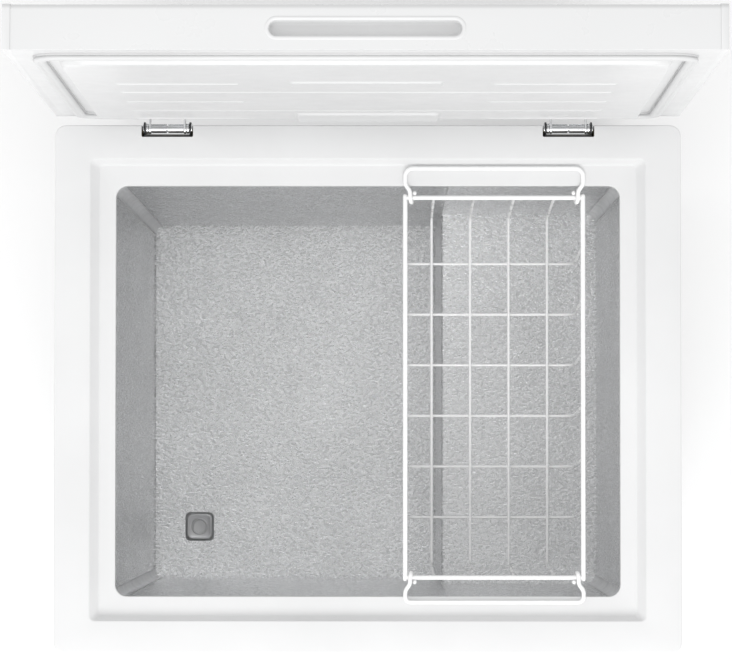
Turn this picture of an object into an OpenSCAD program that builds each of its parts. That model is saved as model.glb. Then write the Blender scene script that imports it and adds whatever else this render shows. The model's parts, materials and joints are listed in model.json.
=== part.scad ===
// Chest freezer with an open lid, a stepped tub and a hanging wire basket.
// Millimetres. X is to the right, Y to the back, Z up; the origin is on the floor,
// in the middle of the cabinet. The lid is drawn shut and then turned to its open stop.

/* [Cabinet] */
// Width over the rim
rim_w = 630; // [600:5:760]
// Depth over the rim, front to back
rim_d = 531; // [440:1:640]
// Height of the rim's top face above the floor
rim_top = 805; // [660:5:970]
// Height of the tub's floor above the ground
tub_floor = 113; // [100:1:140]
// Thickness of the painted sheet
sheet_t = 0.8; // [0.5:0.1:1.5]
// How far the rim stands out past the sheet walls
rim_overhang = 3; // [2:0.5:5]
// Radius of the cabinet's upright corners
corner_r = 8; // [5:1:12]

/* [Rim] */
// From the rim's side edge to the opening
border_x = 61; // [58:1:75]
// From the rim's front edge to the opening
border_front = 56.9; // [55:0.1:70]
// From the rim's back edge to the opening
border_back = 60.7; // [58:0.1:75]
// Depth of the inner ledge below the rim's top
ledge_drop = 10; // [9:0.5:14]
// Width of the ledge at the two sides
ledge_side = 16.5; // [12:0.5:18]
// Width of the ledge at the front
ledge_front = 19.4; // [15:0.1:22]
// Width of the ledge at the back
ledge_back = 21.2; // [21:0.1:24]
// Run of the slope above the side ledges
slope_x = 9; // [4:0.5:10]
// Run of the slope above the front and back ledges
slope_y = 5; // [3:0.5:8]
// Thickness of the moulded rim
rim_t = 4; // [3:0.5:5]
// Height of the skirt that covers the sheet's top edge
skirt_h = 22; // [20:1:30]

/* [Tub] */
// How far the rim's lip stands in front of the tub walls
lip_t = 3; // [2:0.5:4]
// Thickness of the tub's aluminium sheet
liner_t = 0.8; // [0.5:0.1:1.5]
// Radius of the tub's upright corners
tub_r = 10; // [8:1:30]
// Length of the step over the compressor, from the right wall
step_w = 174; // [150:1:210]
// Height of the step above the tub's floor
step_h = 212; // [176:1:256]
// Foam between the step and the compressor bay
bay_foam = 45; // [35:1:50]

/* [Lid] */
// Height of the lid's skirt
lid_h = 40; // [34:1:48]
// Gap between the rim and the shut lid, which the gasket fills
lid_gap = 6; // [5:0.5:8]
// Angle between the shut lid and its open stop
lid_open = 90.8; // [88:0.1:100]
// How far the lid stands past the rim at the front
lid_front_over = 3; // [1:0.5:8]
// Width of the moulded end caps
cap_w = 7; // [5:0.5:10]
// How far the inner panel's plateau stands out
plateau_h = 8; // [6:0.5:9]
// Length of the recessed grip
grip_w = 175; // [140:5:200]
// Height of the recessed grip
grip_h = 21; // [17:1:24]
// Depth of the recessed grip
grip_deep = 13; // [10:1:16]

/* [Hinges] */
// From the rim's side edge to the middle of a hinge
hinge_inset = 113; // [80:1:150]
// Width of the hinge bracket
hinge_w = 48; // [44:1:60]
// Radius of the hinge pin
pin_r = 3; // [2.5:0.1:3.5]
// From the rim's back edge in to the hinge axis
axis_in = 3; // [2:0.1:5]
// Depth of the hinge axis below the rim's top
axis_drop = 7; // [6:0.1:9]
// Height of the hinge bracket
bracket_h = 69; // [50:1:90]

/* [Basket] */
// Width over the basket's rails
basket_w = 184; // [160:1:220]
// Depth of the basket
basket_deep = 170; // [120:1:200]
// Gap between the basket's rail and the right edge of the opening
basket_gap = 34.7; // [20:0.1:60]
// Gap between the basket and the back edge of the opening
basket_back_gap = 9.4; // [9:0.1:14]
// Gap between the basket and the front edge of the opening
basket_front_gap = 16.5; // [10:0.1:20]
// Radius of the rail wire
rail_r = 2.4; // [2:0.1:3]
// Radius of the mesh wire
mesh_r = 1.4; // [1.2:0.1:1.8]
// Radius of the end handles' wire
bail_r = 2.1; // [1.8:0.1:2.4]

/* [Hidden] */
$fn = 48;

// Small gaps that keep neighbours apart
through = 1;
running = 0.05;
loose = 0.3;

// Cabinet
foot_h = 15;
foot_r = 18;
foot_in = 45;
shell_w = rim_w - 2 * rim_overhang;
shell_d = rim_d - 2 * rim_overhang;
shell_top = rim_top - rim_t;
back_y = shell_d / 2;
front_y = -shell_d / 2;
inside_w = shell_w - 2 * sheet_t;
inside_d = shell_d - 2 * sheet_t;

// Opening, ledge and tub
open_w = rim_w - 2 * border_x;
open_back = rim_d / 2 - border_back;
open_front = -rim_d / 2 + border_front;
open_d = open_back - open_front;
open_y = (open_back + open_front) / 2;
open_r = 12;
ledge_w = open_w + 2 * ledge_side;
ledge_d = open_d + ledge_front + ledge_back;
ledge_y = open_y + (ledge_back - ledge_front) / 2;
ledge_z = rim_top - ledge_drop;
ledge_r = 14;
tub_w = open_w + 2 * lip_t;
tub_d = open_d + 2 * lip_t;
tub_top = ledge_z - rim_t;
step_x = tub_w / 2 - step_w;
step_top = tub_floor + step_h;

// Compressor bay
bay_x = step_x + bay_foam;
bay_right = inside_w / 2;
bay_mid = (bay_x + bay_right) / 2;
bay_top = step_top - liner_t - bay_foam;
plate_t = 2.5;
plate_top = foot_h + plate_t;
comp_r = 68;
comp_h = 160;
comp_y = back_y - 125;
comp_base = plate_top + 16;
comp_leg_t = 3;
comp_wall = 3;
leg_x = 62;
leg_y = 78;
bolt_r = 3;
pipe_r = 3.5;
coil_r = 4;
coil_off = liner_t + coil_r + 0.8;

// Rear opening and its grille
vent_w = 150;
vent_low = 34;
vent_high = bay_top - 20;
grille_edge = 10;
grille_t = 2.4;
grille_slot = 58;
grille_pitch = 15;
grille_low = vent_low + 34;
louvre_w = 160;
louvre_h = 5;
louvre_pitch = 18;
louvre_low = 60;
gland_x = bay_mid - 52;
gland_z = vent_low + 12;

// Control panel in the front of the bay
panel_x = bay_mid + 4;
panel_z = 92;
panel_w = 120;
panel_h = 62;
panel_proud = 1.6;
knob_x = panel_x + 26;
knob_r = 18;
knob_h = 11;
cup_r = 22;
cup_deep = 11;
shaft_r = 3;
lamp_r = 3.5;

// Drain, at the front left of the tub
drain_x = -tub_w / 2 + 54;
drain_y = open_front + 57.6;
drain_out_z = 58;
drain_r = 8;
drain_wall = 1.5;
drain_bend = 20;
drain_cap = 30;
drain_plate = 34;
drain_plate_t = 1.2;

// Hinges
hinge_x = rim_w / 2 - hinge_inset;
hinge_y = rim_d / 2 - axis_in;
hinge_z = rim_top - axis_drop;
notch_in = 12;
notch_half = hinge_w / 2 + 2;
bracket_t = 2;
bracket_y = rim_d / 2 - notch_in + loose;
bracket_low = rim_top - bracket_h - 1;
tab_w = 18;
tab_top = rim_top - skirt_h - 2;
ear_r = 6.5;
leaf_r = 5.5;
leaf_out = 18.5;
leaf_t = 2;
leaf_long = 45;
barrel_r = 4.6;

// Lid, drawn shut
lid_low = rim_top + lid_gap;
lid_w = rim_w - 1;
lid_back = rim_d / 2 + 0.5;
lid_front = -rim_d / 2 - lid_front_over;
lid_d = lid_back - lid_front;
lid_y = (lid_back + lid_front) / 2;
lid_edge_r = 5;
skin_t = 1.2;
panel_t = 2;
cap_proud = 0.6;
pocket_w = ledge_w + 2 * slope_x;
pocket_d = ledge_d + 2 * slope_y;
plateau_w = pocket_w - 15;
plateau_d = pocket_d - 9;
pad_w = 144;
pad_d = 66;
pad_h = 2.5;
gasket_w = 11;
gasket_in = 1.5;
grip_z = lid_low + lid_h / 2 - 1;
grip_wall = 1.5;
leaf_plate = 22;
leaf_plate_t = 2;
gland_r = 7;
gland_head_r = 9.5;
gland_bore_r = 4;
grille_screw_r = 1.9;
tab_screw_r = 2.2;
suction_x = bay_mid + 12;
discharge_x = bay_mid + 55;
dryer_x = bay_x + 24;
dryer_y = back_y - 34;
drain_edge_r = 6;
pan_hole_r = 5;
pan_hole_y = drain_y + 60;

// Basket
frame_z = ledge_z - rail_r;
rail_right = open_w / 2 - basket_gap - rail_r;
rail_left = rail_right - basket_w + 2 * rail_r;
basket_x = (rail_left + rail_right) / 2;
end_back = open_back - basket_back_gap - rail_r;
end_front = open_front + basket_front_gap + rail_r;
basket_y = (end_back + end_front) / 2;
mesh_z = frame_z - basket_deep + mesh_r;
cross_count = 6;
cross_pitch = (end_back - end_front) / 7.17;
cross_skew = 9;
cross_bend = 12;
long_count = 4;
long_pitch = (basket_w - 2 * rail_r) / 4.42;
long_taper = 9;
long_bend = 10;
eye_r = rail_r + bail_r + loose;
eye_turn = 290;
bail_in = rail_r + bail_r + 0.4;
bail_bend = 8;
bail_back_reach = basket_back_gap + rail_r + ledge_back - bail_r - 1.5;
bail_front_reach = basket_front_gap + rail_r + 8 - bail_r;

// ---- shared shapes ----

// Rounded rectangle as true arcs
module rrect(w, d, r) {
    square([w - 2 * r, d], center = true);
    square([w, d - 2 * r], center = true);
    for (sx = [-1, 1], sy = [-1, 1])
        translate([sx * (w / 2 - r), sy * (d / 2 - r)]) circle(r);
}

// Upright block with a rounded plan, from z0 to z1
module slab(w, d, r, z0, z1, y = 0) {
    translate([0, y, z0]) linear_extrude(height = z1 - z0) rrect(w, d, r);
}

// Box between two corners
module block(a, b) {
    translate(a) cube(b - a);
}

// Bar along X with its profile drawn in Y and Z
module along_x(x0, x1) {
    translate([x0, 0, 0]) rotate([90, 0, 90]) linear_extrude(height = x1 - x0) children();
}

// Cylinder along X or Y
module rod_x(r, x0, x1) {
    translate([x0, 0, 0]) rotate([0, 90, 0]) cylinder(r = r, h = x1 - x0);
}
module rod_y(r, y0, y1) {
    translate([0, y0, 0]) rotate([-90, 0, 0]) cylinder(r = r, h = y1 - y0);
}

function unit(v) = v / norm(v);
function heading(p, i) = unit(p[min(i + 1, len(p) - 1)] - p[max(i - 1, 0)]);
function across(t) = abs(t[2]) < 0.9 ? unit(cross(t, [0, 0, 1])) : unit(cross(t, [1, 0, 0]));
function carried(n, t) = unit(n - (n * t) * t);
function normals(p) = [
    for (i = 0, n = across(heading(p, 0)); i < len(p);
        i = i + 1, n = i < len(p) ? carried(n, heading(p, i)) : n) n
];

// Arc points in the plane of the unit vectors u and v, about centre c
function arc(c, u, v, r, a0, a1, steps) = [
    for (i = [0:steps])
        let (a = a0 + (a1 - a0) * i / steps) c + r * (cos(a) * u + sin(a) * v)
];

// Wire or pipe swept along a list of points
module wire(p, r, sides = 8) {
    n = normals(p);
    rings = [
        for (i = [0:len(p) - 1], k = [0:sides - 1])
            let (t = heading(p, i), b = cross(t, n[i]), a = 360 * k / sides)
            p[i] + r * (cos(a) * n[i] + sin(a) * b)
    ];
    walls = [
        for (i = [0:len(p) - 2], k = [0:sides - 1])
            let (q = i * sides, j = (k + 1) % sides) [q + k, q + sides + k, q + sides + j, q + j]
    ];
    start = [[for (k = [0:sides - 1]) k]];
    finish = [[for (k = [sides - 1:-1:0]) (len(p) - 1) * sides + k]];
    polyhedron(points = rings, faces = concat(walls, start, finish), convexity = 6);
}

// ---- cabinet ----

module back_notches(half, y0, z0) {
    for (s = [-1, 1])
        block([s * hinge_x - half, y0, z0], [s * hinge_x + half, rim_d, rim_top + through]);
}

module outer_shell() {
    color("white") difference() {
        slab(shell_w, shell_d, corner_r, foot_h, shell_top);
        slab(inside_w, inside_d, corner_r - sheet_t, foot_h - through, shell_top + through);
        block([-inside_w / 2, 0, foot_h - through], [inside_w / 2, rim_d, shell_top + through]);
        block([-rim_w, back_y - corner_r - loose, foot_h - through], [rim_w, rim_d, rim_top]);
        translate([panel_x, 0, panel_z]) panel_cut(front_y - through, front_y + 10);
        translate([drain_x, front_y, drain_out_z]) rod_y(drain_r + loose, -through, 5);
        for (i = [0:7])
            block([inside_w / 2 - through, comp_y - louvre_w, louvre_low + louvre_pitch * i],
                  [rim_w, comp_y - louvre_w / 2, louvre_low + louvre_pitch * i + louvre_h]);
    }
}

module back_panel() {
    color("gainsboro") difference() {
        slab(shell_w, shell_d, corner_r, foot_h, shell_top);
        slab(inside_w, inside_d, corner_r - sheet_t, foot_h - through, shell_top + through);
        block([-rim_w, -rim_d, foot_h - through], [rim_w, back_y - corner_r, shell_top + through]);
        block([bay_mid - vent_w / 2, back_y - 5, vent_low],
              [bay_mid + vent_w / 2, back_y + through, vent_high]);
        back_notches(notch_half, back_y - 5, bracket_low - loose);
    }
}

module bottom_pan() {
    color("silver") difference() {
        block([-inside_w / 2 + corner_r, front_y + corner_r, foot_h],
              [bay_x, back_y - sheet_t, foot_h + plate_t]);
        translate([drain_x, pan_hole_y, foot_h - through]) cylinder(r = pan_hole_r, h = 5);
    }
}

module tub_space(grow) {
    low = tub_floor - grow;
    difference() {
        slab(tub_w + 2 * grow, tub_d + 2 * grow, tub_r + grow, low, tub_top, open_y);
        block([step_x - grow, -rim_d, low - through],
              [rim_w, rim_d, step_top - grow]);
    }
}

module inner_liner() {
    color("darkgray") difference() {
        tub_space(liner_t);
        difference() {
            tub_space(0);
            block([-rim_w, -rim_d, tub_top], [rim_w, rim_d, rim_top]);
        }
        slab(tub_w, tub_d, tub_r, tub_top - 2, tub_top + through, open_y);
        translate([drain_x, drain_y, tub_floor - 5]) cylinder(r = drain_r + loose, h = 10);
    }
}

module cabinet_foam() {
    band_w = ledge_w + 2 * slope_x + 2 * rim_t;
    band_d = ledge_d + 2 * slope_y + 2 * rim_t;
    color("khaki") difference() {
        union() {
            slab(inside_w, inside_d, corner_r - sheet_t, plate_top, tub_top);
            difference() {
                slab(inside_w, inside_d, corner_r - sheet_t, tub_top, shell_top);
                slab(band_w, band_d, ledge_r, tub_top, shell_top + through, ledge_y);
            }
        }
        tub_space(liner_t);
        block([bay_x, -rim_d, foot_h], [rim_w, rim_d, bay_top]);
        back_notches(notch_half, bracket_y - loose, bracket_low - loose);
        drain_path(drain_r);
        translate([drain_x, drain_y, tub_floor - 5]) cylinder(r = drain_r, h = 10);
    }
}

// The pocket over the ledge, with four sloped sides that meet in mitres
module ledge_pocket() {
    intersection() {
        along_x(-rim_w / 2, rim_w / 2) translate([ledge_y, ledge_z]) pocket_profile(ledge_d, slope_y);
        rotate([0, 0, -90]) along_x(-rim_d / 2, rim_d / 2) translate([0, ledge_z])
            pocket_profile(ledge_w, slope_x);
    }
}

module pocket_profile(w, slope) {
    polygon([[-w / 2, 0], [w / 2, 0], [w / 2 + slope, ledge_drop], [w / 2 + slope, ledge_drop + 1],
             [-w / 2 - slope, ledge_drop + 1], [-w / 2 - slope, ledge_drop]]);
}

module top_frame() {
    under = rim_top - skirt_h;
    foam_w = ledge_w + 2 * slope_x + 2 * rim_t;
    foam_d = ledge_d + 2 * slope_y + 2 * rim_t;
    color("white") difference() {
        slab(rim_w, rim_d, corner_r + rim_overhang, under, rim_top);
        ledge_pocket();
        slab(open_w, open_d, open_r, under - through, rim_top, open_y);
        difference() {
            slab(shell_w, shell_d, corner_r, under - through, shell_top);
            slab(foam_w, foam_d, ledge_r, under - 2 * through, rim_top, ledge_y);
        }
        difference() {
            slab(foam_w + 1, foam_d + 1, ledge_r, under - through, tub_top, ledge_y);
            slab(tub_w, tub_d, tub_r, under - 2 * through, rim_top, open_y);
        }
        back_notches(notch_half, rim_d / 2 - notch_in, under - through);
    }
}

module foot_at(sx, sy) {
    color("dimgray")
        translate([sx * (rim_w / 2 - foot_in), sy * (rim_d / 2 - foot_in), 0]) rotate_extrude()
            polygon([[0, 0], [foot_r - 2, 0], [foot_r, 2], [foot_r - 3, foot_h], [0, foot_h]]);
}

// ---- drain ----

// The pipe falls from the tub, turns forward and ends at the front wall
module drain_path(r, more = 0) {
    bend_z = drain_out_z + drain_bend;
    translate([drain_x, drain_y, bend_z])
        cylinder(r = r, h = tub_floor - liner_t - bend_z + more);
    translate([drain_x, drain_y - drain_bend, bend_z]) rotate([90, 0, 90]) rotate([0, 0, -90])
        rotate_extrude(angle = 90) translate([drain_bend, 0]) circle(r);
    translate([drain_x, 0, drain_out_z]) rod_y(r, front_y - more, drain_y - drain_bend);
}

module drain_tube() {
    color("whitesmoke") difference() {
        drain_path(drain_r);
        drain_path(drain_r - drain_wall, through);
    }
}

module drain_socket() {
    color("lightgray") translate([drain_x, drain_y, tub_floor]) difference() {
        union() {
            linear_extrude(height = drain_plate_t) rrect(drain_plate, drain_plate, drain_edge_r);
            translate([0, 0, -liner_t]) cylinder(r = drain_r, h = 2);
        }
        translate([0, 0, -5]) cylinder(r = drain_r - drain_wall, h = 10);
    }
}

module drain_cap_inner() {
    stem = drain_r - drain_wall - loose;
    color("gray") translate([drain_x, drain_y, tub_floor + drain_plate_t]) {
        translate([0, 0, loose]) linear_extrude(height = 2.5) rrect(drain_cap, drain_cap, drain_edge_r);
        translate([0, 0, -9]) cylinder(r = stem, h = 10);
    }
}

module drain_plug_outer() {
    stem = drain_r - drain_wall - loose;
    color("whitesmoke") translate([drain_x, front_y, drain_out_z]) {
        rod_y(13, -3.6, -loose);
        rod_y(stem, -through, 14);
    }
}

// ---- cooling ----

module evaporator_coil() {
    hx = tub_w / 2 + coil_off;
    hy = tub_d / 2 + coil_off;
    r = tub_r + coil_off;
    turns = 7;
    high = tub_top - 40;
    low = step_top + 25;
    steps = 4;
    corners = [[hx - r, hy - r, 0], [-hx + r, hy - r, 90],
               [-hx + r, -hy + r, 180], [hx - r, -hy + r, 270]];
    count = turns * 4 * (steps + 1);
    loops = [
        for (q = [0:count - 1])
            let (k = floor(q / (steps + 1)) % 4, m = q % (steps + 1),
                 c = corners[k], a = c[2] + 90 * m / steps)
            [c[0] + r * cos(a), open_y + c[1] + r * sin(a), high - (high - low) * q / count]
    ];
    turn = [
        for (m = [0:steps])
            let (a = 90 * m / steps)
            [hx - r + r * cos(a), open_y + hy - r + r * sin(a), low - 3 * m]
    ];
    tail = [[suction_x + 10, open_y + hy, low - 14], [suction_x, open_y + hy, low - 24],
            [suction_x, open_y + hy, bay_top]];
    color("peru") wire(concat(loops, turn, tail), coil_r);
}

function serpentine(x, y, z0, pitch, runs, bend) = [
    for (i = [0:runs - 1], m = [0:5])
        let (s = i % 2 == 0 ? 1 : -1, z = z0 + i * pitch, a = -90 + 36 * m)
        [s * (x + bend * cos(a)), y, z + pitch / 2 + bend * sin(a)]
];

module condenser_coil() {
    y = back_y - sheet_t - coil_r - loose;
    low = bay_top + 40;
    high = bracket_low - 20;
    runs = 8;
    pitch = (high - low) / (runs + 1);
    x = inside_w / 2 - 50;
    bends = serpentine(x, y, low, pitch, runs, pitch / 2);
    color("black") {
        wire(concat([[discharge_x, y, bay_top - 12], [discharge_x, y, low - 8],
              [discharge_x + 8, y, low]], bends,
             [[-x + 20, y, low + runs * pitch]]), coil_r);
    }
}

module compressor_shell() {
    top = comp_base + comp_h;
    color("#222222") translate([bay_mid, comp_y, 0]) {
        difference() {
            can(comp_r, comp_base, top, 26);
            can(comp_r - comp_wall, comp_base + comp_wall, top - comp_wall, 24);
        }
        translate([0, 0, comp_base + 75]) rotate_extrude()
            polygon([[comp_r - 1, 0], [comp_r + 3, 0], [comp_r + 3, 5], [comp_r - 1, 5]]);
        difference() {
            translate([0, 0, comp_base - comp_leg_t]) linear_extrude(height = comp_leg_t)
                rrect(2 * leg_x + 24, 2 * leg_y + 24, 12);
            legs() translate([0, 0, comp_base - 10]) cylinder(r = 6, h = 20);
        }
    }
}

// Domed can, as a turned profile with a round of radius r at the top
module can(radius, low, high, r) {
    translate([0, 0, low]) rotate_extrude($fn = 64) union() {
        square([radius, high - low - r]);
        square([radius - r, high - low]);
        translate([radius - r, high - low - r]) intersection() {
            circle(r);
            square(r);
        }
    }
}

module legs() {
    for (sx = [-1, 1], sy = [-1, 1]) translate([sx * leg_x, sy * leg_y, 0]) children();
}

module compressor_motor() {
    color("dimgray") translate([bay_mid, comp_y, 0]) {
        translate([0, 0, comp_base + comp_wall]) cylinder(r = 30, h = 30);
        translate([0, 0, comp_base + 33]) cylinder(r = 46, h = 62);
        translate([0, 0, comp_base + 95]) cylinder(r = 34, h = 26);
    }
}

module terminal_cover() {
    low = comp_base + 30;
    color("black") difference() {
        translate([bay_mid, comp_y - comp_r - 16, low]) linear_extrude(height = 56)
            rrect(52, 44, 5);
        translate([bay_mid, comp_y, low - through])
            cylinder(r = comp_r + loose, h = 80, $fn = 64);
        translate([bay_mid, comp_y, comp_base + 75 - loose])
            cylinder(r = comp_r + 3 + loose, h = 6, $fn = 64);
    }
}

module compressor_grommets() {
    color("#333333") translate([bay_mid, comp_y, 0]) legs() rotate_extrude()
        polygon([[bolt_r + 1, plate_top], [10, plate_top], [10, comp_base - comp_leg_t],
                 [6, comp_base - comp_leg_t], [6, comp_base], [8, comp_base],
                 [8, comp_base + 3], [bolt_r + 1, comp_base + 3]]);
}

module compressor_bolts() {
    color("silver") translate([bay_mid, comp_y, 0]) legs() rotate_extrude()
        polygon([[0, foot_h], [bolt_r, foot_h], [bolt_r, comp_base + 3], [7, comp_base + 3],
                 [7, comp_base + 7], [0, comp_base + 7]]);
}

module compressor_base_plate() {
    color("silver") difference() {
        union() {
            block([bay_x, front_y + sheet_t, foot_h], [bay_right, back_y - sheet_t, plate_top]);
            block([bay_x, front_y + sheet_t, plate_top], [bay_x + 2, back_y - sheet_t, 30]);
        }
        translate([bay_mid, comp_y, 0]) legs() translate([0, 0, foot_h - through])
            cylinder(r = bolt_r, h = 6);
        for (sy = [-1, 1])
            block([bay_right - corner_r, sy * back_y - corner_r, 0],
                  [rim_w, sy * back_y + corner_r, rim_top]);
    }
}

module filter_drier() {
    color("peru") translate([dryer_x, dryer_y, 110]) rotate_extrude()
        polygon([[0, 0], [2, 0], [2, 8], [10, 20], [10, 84], [3.5, 96], [3.5, 104], [0, 104]]);
}

module discharge_line() {
    y = back_y - sheet_t - coil_r - loose;
    x1 = discharge_x;
    color("peru") wire([
        [bay_mid + 30, comp_y + 10, comp_base + comp_h - 6],
        [bay_mid + 30, comp_y + 10, comp_base + comp_h + 12],
        [bay_mid + 34, comp_y + 22, comp_base + comp_h + 22],
        [x1 - 6, y - 30, comp_base + comp_h + 26], [x1, y - 8, comp_base + comp_h + 32],
        [x1, y, bay_top - 26], [x1, y, bay_top - 12]], pipe_r);
}

module suction_line() {
    x = suction_x;
    y = open_y + tub_d / 2 + coil_off;
    top = comp_base + comp_h;
    color("peru") wire([
        [x, y, bay_top], [x, y, bay_top - 14], [x - 3, y - 8, top + 28],
        [x - 8, y - 26, top + 22], [x - 16, comp_y + 12, top + 16],
        [x - 18, comp_y + 6, top + 6], [x - 18, comp_y + 6, top - 4]], pipe_r);
}

module capillary_tube() {
    x = dryer_x;
    y = dryer_y;
    r = 14;
    turns = 3;
    low = 78;
    coils = [
        for (i = [0:12 * turns])
            [x + r * cos(30 * i - 90), y - r + r * sin(30 * i + 90), low - i * 0.5]
    ];
    rise = [[x + 10, y - 30, 60], [x, y - 46, 70], [x, y - 50, 100], [x, y - 50, bay_top]];
    color("peru") wire(concat([[x, y, 110], [x, y, 90]], [for (p = coils) p], rise), 1.2, 6);
}

module rear_grille() {
    w = vent_w + 2 * grille_edge;
    color("dimgray") difference() {
        block([bay_mid - w / 2, back_y, vent_low - grille_edge],
              [bay_mid + w / 2, back_y + grille_t, vent_high + grille_edge]);
        for (i = [0:10])
            block([bay_mid - grille_slot, back_y - through, grille_low + grille_pitch * i],
                  [bay_mid + grille_slot, back_y + 5, grille_low + grille_pitch * i + 6]);
        translate([gland_x, 0, gland_z]) rod_y(gland_r, back_y - through, back_y + 5);
        grille_corners() rod_y(grille_screw_r, back_y - through, back_y + 5);
    }
}

module grille_corners() {
    for (sx = [-1, 1], z = [vent_low - 5, vent_high + 5])
        translate([bay_mid + sx * (vent_w / 2 + 5), 0, z]) children();
}

module grille_screws() {
    color("silver") grille_corners() {
        rod_y(grille_screw_r, back_y, back_y + grille_t);
        rod_y(3.6, back_y + grille_t, back_y + grille_t + 1.6);
    }
}

module cord_gland() {
    color("black") translate([gland_x, 0, gland_z]) difference() {
        union() {
            rod_y(gland_r, back_y, back_y + grille_t);
            rod_y(gland_head_r, back_y + grille_t, back_y + grille_t + 3);
            rod_y(gland_head_r, back_y - 3, back_y);
        }
        rod_y(gland_bore_r, back_y - 10, back_y + 10);
    }
}

// ---- controls ----

module panel_cut(y0, y1) {
    translate([0, y1, 0]) rotate([90, 0, 0]) linear_extrude(height = y1 - y0)
        rrect(panel_w - 8, panel_h - 8, 6);
}

module control_bezel() {
    floor_y = front_y + cup_deep;
    color("whitesmoke") difference() {
        union() {
            translate([panel_x, front_y, panel_z]) rotate([90, 0, 0])
                linear_extrude(height = panel_proud) rrect(panel_w, panel_h, 9);
            translate([panel_x, 0, panel_z]) panel_cut(front_y - 0.5, floor_y + 2);
        }
        translate([knob_x, 0, panel_z]) rod_y(cup_r, front_y - 5, floor_y);
        translate([knob_x, 0, panel_z]) rod_y(shaft_r + loose, front_y, floor_y + 5);
        for (dx = [-36, -18])
            translate([panel_x + dx, 0, panel_z]) rod_y(lamp_r, front_y - 5, floor_y + 5);
    }
}

module lamp_at(dx, tint) {
    color(tint) translate([panel_x + dx, 0, panel_z])
        rod_y(lamp_r, front_y - panel_proud - 0.8, front_y + cup_deep + 4);
}

module thermostat_body() {
    y0 = front_y + cup_deep + 2;
    color("gainsboro") difference() {
        block([knob_x - 19, y0, panel_z - 16], [knob_x + 19, y0 + 30, panel_z + 16]);
        translate([knob_x, 0, panel_z]) rod_y(shaft_r + running, y0 - through, y0 + 16);
    }
}

module thermostat_shaft() {
    y0 = front_y + cup_deep + 2;
    color("silver") translate([knob_x, 0, panel_z]) rod_y(shaft_r, front_y + 4, y0 + 15);
}

module thermostat_knob() {
    y0 = front_y - 1;
    color("white") translate([knob_x, 0, panel_z]) difference() {
        union() {
            rod_y(knob_r, y0 + 3, y0 + knob_h);
            rod_y(knob_r - 1.5, y0 + 1.5, y0 + 3);
            block([-2.5, y0, -knob_r + 3], [2.5, y0 + 2, knob_r - 3]);
        }
        rod_y(shaft_r, y0 + 5, y0 + 20);
    }
}

// ---- hinges ----

module at_pin() {
    translate([0, hinge_y, hinge_z]) children();
}

module hinge_base_at(x) {
    half = hinge_w / 2;
    color("#3a3a3c") translate([x, 0, 0]) difference() {
        union() {
            block([-half, bracket_y, bracket_low], [half, bracket_y + bracket_t, hinge_z + 2]);
            for (x0 = [-half, half - bracket_t]) along_x(x0, x0 + bracket_t) {
                translate([bracket_y, bracket_low])
                    square([hinge_y + ear_r - bracket_y, hinge_z - bracket_low]);
                translate([hinge_y, hinge_z]) circle(ear_r);
                translate([bracket_y, hinge_z - 1]) square([hinge_y - bracket_y, 3]);
            }
            for (s = [-1, 1])
                block([s * (half + tab_w / 2 - 1) - tab_w / 2, back_y, bracket_low],
                      [s * (half + tab_w / 2 - 1) + tab_w / 2, back_y + bracket_t, tab_top]);
        }
        at_pin() rod_x(pin_r, -half - through, half + through);
        tab_holes() rod_y(tab_screw_r, back_y - through, back_y + 5);
    }
}

module tab_holes() {
    for (s = [-1, 1], z = [bracket_low + 9, tab_top - 9])
        translate([s * (hinge_w / 2 + 9), 0, z]) children();
}

module hinge_screws() {
    color("silver") for (s = [-1, 1]) translate([s * hinge_x, 0, 0]) tab_holes() {
        rod_y(tab_screw_r, back_y, back_y + bracket_t);
        rod_y(4, back_y + bracket_t, back_y + bracket_t + 1.4);
    }
}

module hinge_pin_at(x) {
    half = hinge_w / 2;
    color("silver") translate([x, 0, 0]) at_pin() {
        rod_x(pin_r, -half, half);
        rod_x(pin_r + 1.5, -half - 1.2, -half);
        rod_x(pin_r + 1.5, half, half + 1.2);
    }
}

module hinge_barrel_at(x) {
    inner = leaf_out - leaf_t - loose;
    wash0 = leaf_out + loose;
    wash1 = hinge_w / 2 - bracket_t - loose;
    color("silver") translate([x, 0, 0]) at_pin() for (s = [0, 1]) mirror([s, 0, 0])
        difference() {
            union() {
                rod_x(barrel_r, 0.8, inner);
                rod_x(barrel_r + 0.6, wash0, wash1);
            }
            rod_x(pin_r + running, 0, hinge_w);
        }
}

// ---- lid ----

// Turns what is drawn for the shut lid to the open stop
module opened() {
    translate([0, hinge_y, hinge_z]) rotate([-lid_open, 0, 0])
        translate([0, -hinge_y, -hinge_z]) children();
}

module hinge_leaf_at(x) {
    plate = lid_low + panel_t;
    color("lightgray") opened() translate([x, 0, 0]) {
        difference() {
            union() {
                for (x0 = [-leaf_out, leaf_out - leaf_t]) along_x(x0, x0 + leaf_t) {
                    translate([hinge_y, hinge_z]) circle(leaf_r);
                    translate([hinge_y - leaf_r, hinge_z])
                        square([leaf_r + 2, plate + 1 - hinge_z]);
                }
                block([-leaf_plate, hinge_y - leaf_long, plate],
                      [leaf_plate, hinge_y + 2, plate + leaf_plate_t]);
                block([-leaf_out + 1, hinge_y + 0.5, lid_low - 3],
                      [leaf_out - 1, hinge_y + 3.5, lid_low - 1]);
            }
            at_pin() rod_x(pin_r + running, -hinge_w, hinge_w);
        }
    }
}

module lid_profile(grow) {
    intersection() {
        translate([lid_y, lid_low]) rrect(lid_d + 2 * grow, 2 * (lid_h + grow), lid_edge_r);
        translate([lid_front - 5, lid_low]) square([lid_d + 10, lid_h + 5]);
    }
}

module grip_slot(grow, y0, y1) {
    translate([0, y1, grip_z]) rotate([90, 0, 0]) linear_extrude(height = y1 - y0)
        rrect(grip_w + 2 * grow, grip_h + 2 * grow, grip_h / 2 + grow - 0.01);
}

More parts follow.
